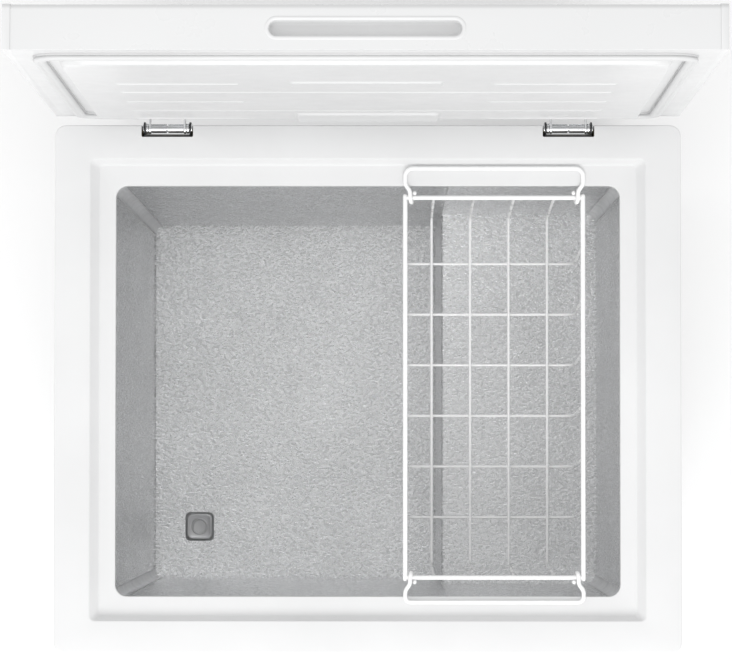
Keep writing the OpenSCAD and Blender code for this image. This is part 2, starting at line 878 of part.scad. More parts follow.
module lid_outer() {
    x = lid_w / 2 - cap_w;
    color("white") opened() difference() {
        along_x(-x, x) lid_profile(0);
        along_x(-x - through, x + through) lid_hollow(-through);
        grip_slot(-grip_wall, lid_front - 5, lid_front + 5);
    }
}

// The space inside the lid's skin, from the height low above the skirt's edge
module lid_hollow(low) {
    intersection() {
        translate([lid_y, lid_low])
            rrect(lid_d - 2 * skin_t, 2 * (lid_h - skin_t), lid_edge_r - skin_t);
        translate([lid_front, lid_low + low]) square([lid_d, lid_h]);
    }
}

module lid_foam() {
    x = lid_w / 2 - cap_w;
    color("khaki") opened() difference() {
        union() {
            along_x(-x, x) lid_hollow(panel_t);
            slab(plateau_w - 2 * panel_t, plateau_d - 2 * panel_t, ledge_r - panel_t,
                 lid_low - plateau_h + panel_t, lid_low + panel_t + 1, ledge_y);
        }
        grip_slot(0, lid_front - 5, lid_front + grip_deep);
        for (s = [-1, 1])
            block([s * hinge_x - leaf_plate - 0.5, hinge_y - leaf_long - loose, lid_low - through],
                  [s * hinge_x + leaf_plate + 0.5, lid_back, lid_low + panel_t + leaf_plate_t + loose]);
    }
}

module lid_inner_panel() {
    color("whitesmoke") opened() difference() {
        union() {
            block([-lid_w / 2 + cap_w, lid_front + skin_t, lid_low],
                  [lid_w / 2 - cap_w, lid_back - skin_t, lid_low + panel_t]);
            slab(plateau_w, plateau_d, ledge_r, lid_low - plateau_h, lid_low + 1, ledge_y);
            slab(pad_w, pad_d, 8, lid_low - plateau_h - pad_h, lid_low - plateau_h + 1,
                 ledge_y + plateau_d / 2 - pad_d / 2);
        }
        slab(plateau_w - 2 * panel_t, plateau_d - 2 * panel_t, ledge_r - panel_t,
             lid_low - plateau_h + panel_t, lid_low + panel_t + through, ledge_y);
        for (s = [-1, 1])
            block([s * hinge_x - leaf_out - 1, hinge_y - leaf_r - loose, lid_low - through],
                  [s * hinge_x + leaf_out + 1, lid_back, lid_low + 5]);
    }
}

module lid_gasket() {
    color("gainsboro") opened() difference() {
        slab(pocket_w + 2 * (gasket_in + gasket_w), pocket_d + 2 * (gasket_in + gasket_w),
             ledge_r + gasket_w, rim_top + loose, lid_low, ledge_y);
        slab(pocket_w + 2 * gasket_in, pocket_d + 2 * gasket_in, ledge_r, rim_top,
             lid_low + through, ledge_y);
    }
}

module grip_cup() {
    color("white") opened() difference() {
        union() {
            grip_slot(0, lid_front + skin_t, lid_front + grip_deep);
            grip_slot(-grip_wall, lid_front - 0.4, lid_front + skin_t);
        }
        grip_slot(-2 * grip_wall, lid_front - 5, lid_front + grip_deep - grip_wall);
    }
}

module lid_end_cap_at(s) {
    edge = lid_w / 2;
    wall = 2.5;
    color("white") opened() mirror([s < 0 ? 1 : 0, 0, 0]) difference() {
        along_x(edge - cap_w, edge) lid_profile(cap_proud);
        translate([edge - cap_w - through, lid_front + skin_t + 1, lid_low + wall])
            cube([cap_w - wall + through, lid_d - 2 * skin_t - 2, lid_h - skin_t - wall - 1]);
    }
}

// ---- basket ----

module basket_frame() {
    color("white") translate([0, 0, frame_z]) {
        for (x = [rail_left, rail_right])
            translate([x, 0, 0]) rod_y(rail_r, end_front - rail_r, end_back + rail_r);
        for (y = [end_front, end_back])
            translate([0, y, 0]) rod_x(rail_r - 0.1, rail_left, rail_right);
    }
}

function cross_path(y) = concat(
    [[rail_left, y, frame_z]],
    arc([rail_left + cross_bend, y, mesh_z + cross_bend], [1, 0, 0], [0, 0, 1],
        cross_bend, 180, 270, 4),
    arc([rail_right - cross_bend, y, mesh_z + cross_bend], [1, 0, 0], [0, 0, 1],
        cross_bend, 270, 360, 4),
    [[rail_right, y + cross_skew, frame_z]]
);

function long_path(x) =
    let (y0 = end_front + long_taper, y1 = end_back - long_taper, z = mesh_z + 2 * mesh_r - 0.2)
    concat(
        [[x, end_front, frame_z]],
        arc([x, y0 + long_bend, z + long_bend], [0, 1, 0], [0, 0, 1], long_bend, 180, 270, 4),
        arc([x, y1 - long_bend, z + long_bend], [0, 1, 0], [0, 0, 1], long_bend, 270, 360, 4),
        [[x, end_back, frame_z]]
    );

module basket_cross_wires() {
    color("white") for (i = [0:cross_count - 1])
        wire(cross_path(basket_y + (i - (cross_count - 1) / 2) * cross_pitch), mesh_r);
}

module basket_long_wires() {
    color("white") for (i = [0:long_count - 1])
        wire(long_path(basket_x + (i - (long_count - 1) / 2) * long_pitch), mesh_r);
}

// End handle: an eye round the end wire, a leg, the grip bar, and back. out is 1 or -1
function bail_side(x_eye, x_leg, reach, out, inward) = concat(
    [
        for (i = [0:12])
            let (a = 90 + eye_turn * (12 - i) / 12)
            [x_eye + inward * (2 * bail_r + 0.4) * (12 - i) / 12,
             out * eye_r * cos(a), eye_r * sin(a)]
    ],
    [[x_eye, out * 6.5, eye_r], [x_leg, out * 13, eye_r]],
    [
        for (i = [0:4])
            let (a = 90 * i / 4)
            [x_leg + inward * bail_bend * (1 - cos(a)),
             out * (reach - bail_bend + bail_bend * sin(a)), eye_r]
    ]
);

function backwards(p) = [for (i = [len(p) - 1:-1:0]) p[i]];

module bail(y, reach, out) {
    left = bail_side(rail_left + bail_in, rail_left, reach, out, 1);
    right = bail_side(rail_right - bail_in, rail_right, reach, out, -1);
    color("white") translate([0, y, frame_z]) wire(concat(left, backwards(right)), bail_r);
}

// ---- parts ----

outer_shell();
back_panel();
bottom_pan();
cabinet_foam();
inner_liner();
top_frame();
evaporator_coil();
condenser_coil();
compressor_shell();
compressor_motor();
terminal_cover();
compressor_grommets();
compressor_bolts();
compressor_base_plate();
filter_drier();
suction_line();
discharge_line();
capillary_tube();
rear_grille();
grille_screws();
cord_gland();
control_bezel();
thermostat_body();
thermostat_shaft();
thermostat_knob();
lamp_at(-36, "limegreen");  // power_lamp
lamp_at(-18, "orange");  // run_lamp
drain_socket();
drain_tube();
drain_cap_inner();
drain_plug_outer();
foot_at(-1, -1);  // foot_front_left
foot_at(1, -1);  // foot_front_right
foot_at(-1, 1);  // foot_rear_left
foot_at(1, 1);  // foot_rear_right
hinge_base_at(-hinge_x);  // hinge_base_left
hinge_base_at(hinge_x);  // hinge_base_right
hinge_pin_at(-hinge_x);  // hinge_pin_left
hinge_pin_at(hinge_x);  // hinge_pin_right
hinge_barrel_at(-hinge_x);  // hinge_barrel_left
hinge_barrel_at(hinge_x);  // hinge_barrel_right
hinge_leaf_at(-hinge_x);  // hinge_leaf_left
hinge_leaf_at(hinge_x);  // hinge_leaf_right
hinge_screws();
lid_outer();
lid_foam();
lid_inner_panel();
lid_gasket();
grip_cup();
lid_end_cap_at(-1);  // lid_end_cap_left
lid_end_cap_at(1);  // lid_end_cap_right
basket_frame();
basket_cross_wires();
basket_long_wires();
bail(end_back, bail_back_reach, 1);  // basket_bail_rear
bail(end_front, bail_front_reach, -1);  // basket_bail_front
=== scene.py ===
"""Chest freezer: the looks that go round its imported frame.

Laid out as a Blender add-on. main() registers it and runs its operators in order.
Every length is in metres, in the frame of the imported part: X right, Y back, Z up, floor at zero.
"""

import json
import math

import bmesh
import bpy
import numpy as np
from bpy.props import FloatProperty, FloatVectorProperty, IntProperty, PointerProperty
from mathutils import Euler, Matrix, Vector


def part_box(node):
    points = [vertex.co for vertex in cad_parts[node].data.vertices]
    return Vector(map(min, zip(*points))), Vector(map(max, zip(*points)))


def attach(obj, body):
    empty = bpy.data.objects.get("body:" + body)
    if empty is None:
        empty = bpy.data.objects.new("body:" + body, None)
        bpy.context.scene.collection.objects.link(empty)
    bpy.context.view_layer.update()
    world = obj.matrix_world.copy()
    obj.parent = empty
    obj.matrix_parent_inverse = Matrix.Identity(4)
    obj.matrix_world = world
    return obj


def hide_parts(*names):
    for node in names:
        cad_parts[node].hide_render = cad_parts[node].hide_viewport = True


bl_info = {
    "name": "Chest freezer",
    "version": (1, 0, 0),
    "blender": (4, 5, 0),
    "location": "3D View > Sidebar > Freezer",
    "description": "Builds the visible pieces of a chest freezer round its packed frame",
    "category": "Add Mesh",
}

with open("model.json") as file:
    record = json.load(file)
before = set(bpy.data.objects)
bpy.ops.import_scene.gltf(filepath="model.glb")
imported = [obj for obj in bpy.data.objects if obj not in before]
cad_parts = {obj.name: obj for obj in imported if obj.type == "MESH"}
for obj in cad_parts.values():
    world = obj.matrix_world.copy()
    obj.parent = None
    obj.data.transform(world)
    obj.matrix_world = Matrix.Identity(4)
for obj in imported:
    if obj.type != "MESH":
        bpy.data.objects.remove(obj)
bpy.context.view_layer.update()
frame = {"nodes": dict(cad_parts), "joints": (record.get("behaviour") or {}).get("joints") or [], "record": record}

NODES = frame["nodes"]
JOINTS = {joint["name"]: joint for joint in frame["joints"]}
BODY_OF = {n: body for body, names in frame["record"]["behaviour"]["bodies"].items() for n in names}
SLOT_OF = {row["node"]: row["material_slot"] for row in frame["record"]["subparts"]}


def low(node):
    """A node's lowest corner."""
    return np.array(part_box(node)[0])


def high(node):
    """A node's highest corner."""
    return np.array(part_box(node)[1])


def middle(node):
    """The middle of a node's box."""
    return (low(node) + high(node)) / 2


def half_width(node):
    """Half of a node's width."""
    return (high(node)[0] - low(node)[0]) / 2


def facing(node):
    """The place on y = 0 straight behind or before a node's middle."""
    x, _, z = middle(node)
    return (x, 0.0, z)


# ---- places that the frame gives ----

SHEET = 0.0008
RIM_LOW, RIM_HIGH = low("top_frame"), high("top_frame")
RIM_TOP = RIM_HIGH[2]
TUB_LOW, TUB_HIGH = low("inner_liner"), high("inner_liner")
HINGE = np.array(JOINTS["lid_hinge"]["pos_m"])
LID_OPEN = math.radians(-JOINTS["lid_hinge"]["range_deg"][0])
DRAIN = middle("drain_socket")


def corners_of(node):
    """A node's vertices."""
    mesh = NODES[node].data
    flat = np.empty(len(mesh.vertices) * 3, np.float32)
    mesh.vertices.foreach_get("co", flat)
    return flat.reshape(-1, 3).astype(float)


LINER = corners_of("inner_liner")
FLOOR_Z = TUB_LOW[2] + SHEET
BELOW_WALLS = TUB_LOW[2] + 0.4
STEP_TOP = LINER[LINER[:, 2] < BELOW_WALLS][:, 2].max()
STEP_X = LINER[np.abs(LINER[:, 2] - FLOOR_Z) < 0.0001][:, 0].max()


# ---- surfaces on a grid ----


def grid_faces(rows, columns, wrap_rows=False, wrap_columns=False, start=0):
    """Quads between neighbours on a grid of rows by columns, numbered row by row."""
    r = np.arange(rows if wrap_rows else rows - 1)
    c = np.arange(columns if wrap_columns else columns - 1)
    a, b = np.meshgrid(r, c, indexing="ij")
    a2, b2 = (a + 1) % rows, (b + 1) % columns
    quads = np.stack([a * columns + b, a * columns + b2, a2 * columns + b2, a2 * columns + b], -1)
    return quads.reshape(-1, 4) + start


class Shape:
    """Vertices and faces that grow surface by surface into one mesh."""

    def __init__(self):
        self.points = []
        self.faces = []
        self.count = 0

    def grid(self, points, wrap_rows=False, wrap_columns=False, caps=False):
        """Adds a grid of points, rows by columns by 3. Caps close its first and last rows."""
        rows, columns = points.shape[:2]
        faces = grid_faces(rows, columns, wrap_rows, wrap_columns, self.count)
        self.faces += faces.tolist()
        if caps:
            first = np.arange(columns) + self.count
            self.faces.append(first[::-1].tolist())
            self.faces.append((first + (rows - 1) * columns).tolist())
        self.points.append(points.reshape(-1, 3))
        self.count += rows * columns
        return self

    def field(self, outline):
        """Adds one flat face through an outline's points."""
        self.faces.append(list(range(self.count, self.count + len(outline))))
        self.points.append(outline)
        self.count += len(outline)

    def add(self, other):
        """Adds another shape's vertices and faces."""
        self.faces += [[i + self.count for i in face] for face in other.faces]
        self.points += other.points
        self.count += other.count

    def mesh(self, name):
        """The shape as a Blender mesh."""
        mesh = bpy.data.meshes.new(name)
        mesh.from_pydata(np.concatenate(self.points).tolist(), [], self.faces)
        return mesh


def outward(mesh):
    """Merges doubled points and turns every face outwards."""
    bm = bmesh.new()
    bm.from_mesh(mesh)
    bmesh.ops.remove_doubles(bm, verts=bm.verts, dist=1e-6)
    bmesh.ops.recalc_face_normals(bm, faces=bm.faces)
    bm.to_mesh(mesh)
    bm.free()


def piece(name, shape, body, finish, replaces=(), sharp=35.0, tidy=True):
    """Makes a shape or a mesh a visible piece that rides on a body and takes a material slot."""
    mesh = shape.mesh(name) if isinstance(shape, Shape) else shape
    if tidy:
        outward(mesh)
    mesh.polygons.foreach_set("use_smooth", np.ones(len(mesh.polygons), bool))
    mesh.set_sharp_from_angle(angle=math.radians(sharp))
    mesh.materials.clear()
    mesh.materials.append(finish)
    mesh.update()
    made = bpy.data.objects.new(name, mesh)
    bpy.context.scene.collection.objects.link(made)
    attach(made, body)
    if replaces:
        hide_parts(*replaces)
    return made


def settle(made):
    """Applies a piece's modifiers to its mesh."""
    graph = bpy.context.evaluated_depsgraph_get()
    graph.update()
    mesh = bpy.data.meshes.new_from_object(made.evaluated_get(graph))
    old = made.data
    made.modifiers.clear()
    made.data = mesh
    bpy.data.meshes.remove(old)
    return made


def cut(made, cutters, sharp=35.0):
    """Takes the closed shapes in cutters out of a piece."""
    for number, shape in enumerate(cutters):
        mesh = shape.mesh("cutter")
        outward(mesh)
        knife = bpy.data.objects.new("cutter", mesh)
        bpy.context.scene.collection.objects.link(knife)
        step = made.modifiers.new(f"cut{number}", "BOOLEAN")
        step.object = knife
        step.solver = "EXACT"
        settle(made)
        bpy.data.objects.remove(knife)
        bpy.data.meshes.remove(mesh)
    made.data.set_sharp_from_angle(angle=math.radians(sharp))
    return made


def rounded_loop(x0, x1, y0, y1, r, z, arc=8, side=6):
    """Points round a rounded rectangle at height z.

    Each corner is a quarter circle of arc steps, and each straight side has side steps between.
    """
    a = np.linspace(0, np.pi / 2, arc + 1)
    centres = [(x1 - r, y1 - r), (x0 + r, y1 - r), (x0 + r, y0 + r), (x1 - r, y0 + r)]
    corners = [
        np.stack([cx + r * np.cos(a + k * np.pi / 2), cy + r * np.sin(a + k * np.pi / 2)], -1)
        for k, (cx, cy) in enumerate(centres)
    ]
    t = np.linspace(0, 1, side + 1)[1:-1, None]
    parts = []
    for k in range(4):
        start, end = corners[k][-1], corners[(k + 1) % 4][0]
        parts += [corners[k], start + (end - start) * t]
    flat = np.concatenate(parts)
    return np.concatenate([flat, np.full((len(flat), 1), z)], 1)


def stack(loops, closed=False, caps=False, shape=None):
    """A surface through loops of equally many points, each one a row that wraps round."""
    shape = Shape() if shape is None else shape
    return shape.grid(np.stack(loops), wrap_rows=closed, wrap_columns=True, caps=caps)


def turned(profile, centre, axis="Z", steps=48, wobble=None):
    """A lathe shape: a profile of (radius, height) pairs turned about an axis through centre.

    wobble(angle) multiplies the radius, for ribs and grips. The profile starts and ends on the axis
    or the caps close it.
    """
    profile = np.array(profile, float)
    angle = np.linspace(0, 2 * np.pi, steps, endpoint=False)
    scale = np.ones(steps) if wobble is None else wobble(angle)
    radius = profile[:, :1] * scale[None, :]
    flat = np.stack([radius * np.cos(angle), radius * np.sin(angle),
                     np.repeat(profile[:, 1:], steps, 1)], -1)
    order = {"Z": (0, 1, 2), "Y": (0, 2, 1), "X": (2, 0, 1)}[axis]
    return Shape().grid(flat[..., order] + np.array(centre), wrap_columns=True, caps=True)


def carried_frames(path, closed=False):
    """Directions along a path and two directions across it that turn as little as they can."""
    if closed:
        along = np.roll(path, -1, 0) - np.roll(path, 1, 0)
    else:
        along = np.gradient(path, axis=0)
    along /= np.linalg.norm(along, axis=1, keepdims=True)
    first = np.cross(along[0], [0.0, 0.0, 1.0])
    if np.linalg.norm(first) < 0.1:
        first = np.cross(along[0], [1.0, 0.0, 0.0])
    across = [first / np.linalg.norm(first)]
    for t in along[1:]:
        n = across[-1] - (across[-1] @ t) * t
        across.append(n / np.linalg.norm(n))
    across = np.array(across)
    return along, across, np.cross(along, across)


def swept(path, radius, sides=14, closed=False, shape=None, ends=2):
    """A round wire: circles of a radius carried along a path, with domed ends of a few rings."""
    path = np.array(path, float)
    shape = Shape() if shape is None else shape
    along, u, v = carried_frames(path, closed)
    a = np.linspace(0, 2 * np.pi, sides, endpoint=False)
    ring = np.cos(a)[None, :, None] * u[:, None] + np.sin(a)[None, :, None] * v[:, None]
    rows = path[:, None] + radius * ring
    if closed:
        return shape.grid(rows, wrap_rows=True, wrap_columns=True)
    dome = np.linspace(0, np.pi / 2, ends + 2)[1:-1][:, None, None]
    tail = path[-1] + radius * (np.cos(dome) * ring[-1] + np.sin(dome) * along[-1])
    head = path[0] + radius * (np.cos(dome) * ring[0] - np.sin(dome) * along[0])
    return shape.grid(np.concatenate([head[::-1], rows, tail]), wrap_columns=True, caps=True)


def rounded_path(points, radius, steps=6):
    """A path through points whose corners are arcs, as bends of a radius in a wire."""
    points = [np.array(p, float) for p in points]
    out = [points[0]]
    for before, here, after in zip(points, points[1:], points[2:]):
        a, b = before - here, after - here
        la, lb = np.linalg.norm(a), np.linalg.norm(b)
        a, b = a / la, b / lb
        half = math.acos(np.clip(a @ b, -1, 1)) / 2
        if half > 1.55:
            out.append(here)
            continue
        reach = min(radius / math.tan(half), 0.48 * la, 0.48 * lb)
        r = reach * math.tan(half)
        centre = here + (a + b) / np.linalg.norm(a + b) * (r / math.sin(half))
        p0, p1 = here + a * reach - centre, here + b * reach - centre
        full = math.acos(np.clip(p0 @ p1 / r**2, -1, 1))
        t = np.linspace(0, 1, steps + 1)[:, None]
        out += list(centre + (np.sin((1 - t) * full) * p0 + np.sin(t * full) * p1) / math.sin(full))
    out.append(points[-1])
    return np.array(out)


def opened(points):
    """Turns points of the shut lid to its open stop, about the hinge axis."""
    c, s = math.cos(LID_OPEN), math.sin(LID_OPEN)
    y, z = points[..., 1] - HINGE[1], points[..., 2] - HINGE[2]
    return np.stack([points[..., 0], HINGE[1] + y * c + z * s, HINGE[2] - y * s + z * c], -1)


def open_shape(shape):
    """The same turn for every point of a shape."""
    shape.points = [opened(p) for p in shape.points]
    return shape


def softened(name, node, finish, width=0.0004, segments=2, limit=40.0):
    """A copy of a CAD node with its doubles merged and its edges rounded, which replaces it."""
    mesh = NODES[node].data.copy()
    mesh.name = name
    made = piece(name, mesh, BODY_OF[node], finish, [node], limit)
    edge = made.modifiers.new("edges", "BEVEL")
    edge.width = width
    edge.segments = segments
    edge.limit_method = "ANGLE"
    edge.angle_limit = math.radians(limit)
    edge.use_clamp_overlap = True
    edge.harden_normals = True
    return settle(made)


# ---- finishes ----


class Finish:
    """A material whose shader is fed by patterns on object coordinates."""

    def __init__(self, name, color, roughness, metallic=0.0, **sockets):
        self.material = bpy.data.materials.new(name)
        self.material.use_nodes = True
        self.tree = self.material.node_tree
        self.shader = self.tree.nodes["Principled BSDF"]
        self.place = self.tree.nodes.new("ShaderNodeTexCoord").outputs["Object"]
        self.put("Base Color", (*color, 1.0))
        self.put("Roughness", roughness)
        self.put("Metallic", metallic)
        for socket, value in sockets.items():
            self.put(socket.replace("_", " "), value)
        self.material.diffuse_color = (*color, 1.0)

    def put(self, socket, value):
        """Sets one of the shader's sockets, or feeds it from another node's output."""
        if isinstance(value, bpy.types.NodeSocket):
            self.tree.links.new(value, self.shader.inputs[socket])
        else:
            self.shader.inputs[socket].default_value = value

    def node(self, kind, inputs, **settings):
        """Adds a node, sets it up, and fills its inputs with values or other nodes' outputs."""
        made = self.tree.nodes.new("ShaderNode" + kind)
        for key, value in settings.items():
            setattr(made, key, value)
        for key, value in inputs.items():
            if isinstance(value, bpy.types.NodeSocket):
                self.tree.links.new(value, made.inputs[key])
            else:
                made.inputs[key].default_value = value
        return made

    def mapped(self, stretch=(1, 1, 1), turn=(0, 0, 0)):
        """Object coordinates stretched and turned."""
        inputs = {"Vector": self.place, "Scale": stretch, "Rotation": turn}
        return self.node("Mapping", inputs).outputs[0]

    def noise(self, scale, detail=2.0, rough=0.5, where=None, distortion=0.0):
        """Cloudy noise from 0 to 1."""
        return self.node("TexNoise", {"Vector": where or self.place, "Scale": scale, "Detail": detail,
                                      "Roughness": rough, "Distortion": distortion}).outputs[0]

    def cells(self, scale, where=None, smooth=False, color=False):
        """Distance to the nearest cell's middle, or each cell's own random colour."""
        made = self.node("TexVoronoi", {"Vector": where or self.place, "Scale": scale},
                         feature="SMOOTH_F1" if smooth else "F1")
        return made.outputs["Color" if color else "Distance"]

    def ranged(self, value, low, high, start=0.0, end=1.0):
        """A value carried from the span start to end over to the span low to high."""
        return self.node("MapRange", {"Value": value, "From Min": start, "From Max": end,
                                      "To Min": low, "To Max": high}).outputs[0]

    def blended(self, factor, dark, light, low=0.3, high=0.7):
        """Two colours blended by a value between low and high."""
        ramp = self.node("ValToRGB", {"Fac": factor})
        first, last = ramp.color_ramp.elements
        first.position, last.position = low, high
        first.color, last.color = (*dark, 1.0), (*light, 1.0)
        return ramp.outputs[0]

    def relief(self, height, distance, strength=1.0, after=None):
        """Bump from a height, laid over earlier bump."""
        inputs = {"Height": height, "Distance": distance, "Strength": strength}
        if after:
            inputs["Normal"] = after
        made = self.node("Bump", inputs).outputs[0]
        self.put("Normal", made)
        return made


def shade(color, by):
    """A colour made darker or lighter by a factor."""
    return tuple(min(c * by, 1.0) for c in color[:3])


def moulded(name, color, roughness=0.38, grain=1400.0, depth=0.00002, **sockets):
    """Moulded plastic or rubber: faint grain, and gloss and tone that drift over the part."""
    f = Finish(name, color, roughness, **sockets)
    drift = f.noise(9.0, 3.0)
    f.put("Base Color", f.blended(drift, shade(color, 0.965), shade(color, 1.01)))
    f.put("Roughness", f.ranged(f.noise(55.0, 4.0), roughness * 0.82, roughness * 1.2, 0.3, 0.7))
    broad = f.relief(f.noise(26.0, 1.0), 0.00018, 0.35)
    f.relief(f.noise(grain, 2.0), depth, 0.5, broad)
    return f.material


def painted(name, color, roughness=0.3, peel=420.0, **sockets):
    """Sprayed or coil-coated paint: orange peel under a clear gloss."""
    f = Finish(name, color, roughness, Coat_Weight=0.25, Coat_Roughness=0.12, **sockets)
    f.put("Base Color", f.blended(f.noise(4.0, 2.0), shade(color, 0.975), shade(color, 1.01)))
    f.put("Roughness", f.ranged(f.noise(30.0, 4.0), roughness * 0.8, roughness * 1.25, 0.3, 0.7))
    wave = f.relief(f.noise(5.0, 1.0), 0.0004, 0.12)
    f.relief(f.noise(peel, 1.0), 0.00003, 0.4, wave)
    return f.material


def plated(name, color, roughness, lines=(1, 1, 1), scale=500.0, spangle=0.0):
    """Bare or plated metal: fine drawn lines, stains in its gloss, and crystals where it is dipped."""
    f = Finish(name, color, roughness, 1.0)
    where = f.mapped(lines)
    if spangle:
        tone = f.cells(spangle, color=True)
        grey = f.node("RGBToBW", {"Color": tone}).outputs[0]
        f.put("Base Color", f.blended(grey, shade(color, 0.78), shade(color, 1.08), 0.2, 0.8))
        f.put("Roughness", f.ranged(grey, roughness * 0.7, roughness * 1.35))
    else:
        f.put("Base Color", f.blended(f.noise(40.0, 4.0), shade(color, 0.88), shade(color, 1.05)))
        f.put("Roughness", f.ranged(f.noise(90.0, 4.0), roughness * 0.7, roughness * 1.4, 0.3, 0.7))
    f.relief(f.noise(scale, 3.0, 0.6, where), 0.00002, 0.5)
    return f.material


MIX_A, MIX_B, MIX_RESULT = 6, 7, 2  # places of a Mix node's colour sockets


def embossed(name, color, roughness, pitch, depth, highlight_gain=1.0):
    """Aluminium sheet rolled with a stucco pattern.

    The relief is the ridges of stretched, twisted noise, one every pitch. Small pebbles break it up,
    and the metal's gloss follows the height, while its colour is painted lighter on the crests as a painted
    highlight.
    """
    f = Finish(name, color, roughness, 1.0)
    along = f.mapped((0.55, 1.0, 0.8))
    waves = f.noise(1 / pitch, 1.5, 0.45, along, 0.9)
    ridges = f.ranged(waves, 0.0, 1.0, 0.36, 0.64)
    pebbles = f.cells(0.8 / pitch, f.mapped((0.7, 1.0, 1.0)), smooth=True)
    bumps = f.ranged(pebbles, 0.45, 0.0, 0.0, 0.7)
    height = f.node("Math", {0: ridges, 1: bumps}, operation="ADD").outputs[0]
    clouds = f.noise(7.0, 4.0, 0.6)
    tone = f.blended(clouds, shade(color, 0.93), shade(color, 1.05), 0.35, 0.65)
    # Painted highlight: a lighter copy of the metal's colour, mixed in on the crests by their height.
    crest_highlight = (*shade(color, 1.2 * highlight_gain), 1.0)
    mixed = {"Factor": f.ranged(ridges, 0.0, 0.35), MIX_A: tone, MIX_B: crest_highlight}
    highlighted_crest = f.node("Mix", mixed, data_type="RGBA")
    f.put("Base Color", highlighted_crest.outputs[MIX_RESULT])
    f.put("Roughness", f.ranged(ridges, roughness * 1.15, roughness * 0.75))
    f.relief(height, depth, 1.0)
    return f.material


# ---- the cabinet's top and tub ----

LIP = 0.003
OPEN_R = 0.012
SHELL_R = 0.008
RIM_R = 0.011
BAND = 0.004
NOTCH_HALF = 0.026
SKIN_GAP = 0.0001
OPEN_X = TUB_HIGH[0] - SHEET - LIP
OPEN_FRONT = TUB_LOW[1] + SHEET + LIP
OPEN_BACK = TUB_HIGH[1] - SHEET - LIP
LEDGE_DROP = 0.010
LEDGE_X = OPEN_X + 0.0165
LEDGE_FRONT, LEDGE_BACK = OPEN_FRONT - 0.0194, OPEN_BACK + 0.0212
SLOPE_X, SLOPE_Y = 0.009, 0.005
SHELL_X = high("outer_shell")[0]
SHELL_Y = -low("outer_shell")[1]
SHELL_TOP = high("outer_shell")[2]
TUB_TOP = TUB_HIGH[2]
HINGES = [middle("hinge_pin_left")[0], middle("hinge_pin_right")[0]]
TUB_R = 0.010
RISER_LEAN = 0.005
DRAIN_R = 0.0065


def eased_rows(rows, radii, steps=4):
    """A path of rows (half width, front, back, corner radius, height) with its turns rounded.

    Each turn is a quadratic curve from one point a radius before it to one a radius after it.
    """
    rows = np.array(rows, float)
    count = len(rows)
    t = np.linspace(0, 1, steps + 1)[:, None]
    out = []
    for k in range(count):
        radius = radii[k]
        here, before, after = rows[k], rows[k - 1], rows[(k + 1) % count]
        if radius <= 0:
            out.append(here[None])
            continue
        a, b = before - here, after - here
        la, lb = (max(abs(d[0]) + abs(d[2]) / 2, abs(d[4]), 1e-9) for d in (a, b))
        start = here + a * min(radius / la, 0.5)
        end = here + b * min(radius / lb, 0.5)
        out.append((1 - t) ** 2 * start + 2 * t * (1 - t) * here + t**2 * end)
    return np.concatenate(out)


def loops(rows, arc=8, side=1, lift=lambda p: p):
    """Rounded rectangles, one for each row of half width, front, back, radius and height."""
    return [lift(rounded_loop(-w, w, y0, y1, r, z, arc, side)) for w, y0, y1, r, z in rows]


def rim_shape(edge):
    """The rim's closed section carried round the opening.

    The section goes down inside the skirt, up its outside, in over the flat top, down the slope to
    the ledge, over the lip, and back under the ledge. Every turn is eased by a few millimetres.
    """
    x, y, low_z = RIM_HIGH[0], RIM_HIGH[1], RIM_LOW[2]
    inset = SHEET + 2 * SKIN_GAP
    tub = (TUB_HIGH[0] - inset, TUB_LOW[1] + inset, TUB_HIGH[1] - inset, 0.0145)
    top = (LEDGE_X + SLOPE_X, LEDGE_FRONT - SLOPE_Y, LEDGE_BACK + SLOPE_Y)
    band = (top[0] + BAND, top[1] - BAND, top[2] + BAND, 0.014)
    shell = (SHELL_X + SKIN_GAP, -SHELL_Y, SHELL_Y, SHELL_R)
    lip = (OPEN_X, OPEN_FRONT, OPEN_BACK, OPEN_R)
    rows = [
        ((*shell, SHELL_TOP + SKIN_GAP), 0),
        ((*shell, low_z), edge * 0.4),
        ((x, -y, y, RIM_R, low_z), edge * 0.4),
        ((x, -y, y, RIM_R, RIM_TOP), edge * 1.6),
        ((*top, 0.006, RIM_TOP), edge),
        ((LEDGE_X, LEDGE_FRONT, LEDGE_BACK, 0.004, RIM_TOP - LEDGE_DROP), edge),
        ((*lip, RIM_TOP - LEDGE_DROP), edge),
        ((*lip, low_z), edge * 0.4),
        ((*tub, low_z), edge * 0.4),
        ((*tub, TUB_TOP + SKIN_GAP), 0),
        ((*band, TUB_TOP + SKIN_GAP), 0),
        ((*band, SHELL_TOP + SKIN_GAP), 0),
    ]
    eased = eased_rows([r for r, _ in rows], [e for _, e in rows])
    return stack(loops(eased, arc=10, side=4), closed=True)


def build_rim(detail):
    """The rim, with a notch at its back for each hinge bracket."""
    notch_y = low("hinge_base_left")[1] - 0.0003
    past = RIM_HIGH[1] + 0.02
    cutters = [
        stack([rounded_loop(x - NOTCH_HALF, x + NOTCH_HALF, notch_y, past, 0.0015, z, 4, 1)
               for z in (RIM_LOW[2] - 0.01, RIM_TOP + 0.01)], caps=True)
        for x in HINGES
    ]
    rim = piece("top_rim", rim_shape(detail.edge), "cabinet", FINISHES["white_plastic"](),
                ["top_frame"])
    cut(rim, cutters)


TUB_X, TUB_FRONT, TUB_BACK = TUB_HIGH[0] - SHEET, TUB_LOW[1] + SHEET, TUB_HIGH[1] - SHEET


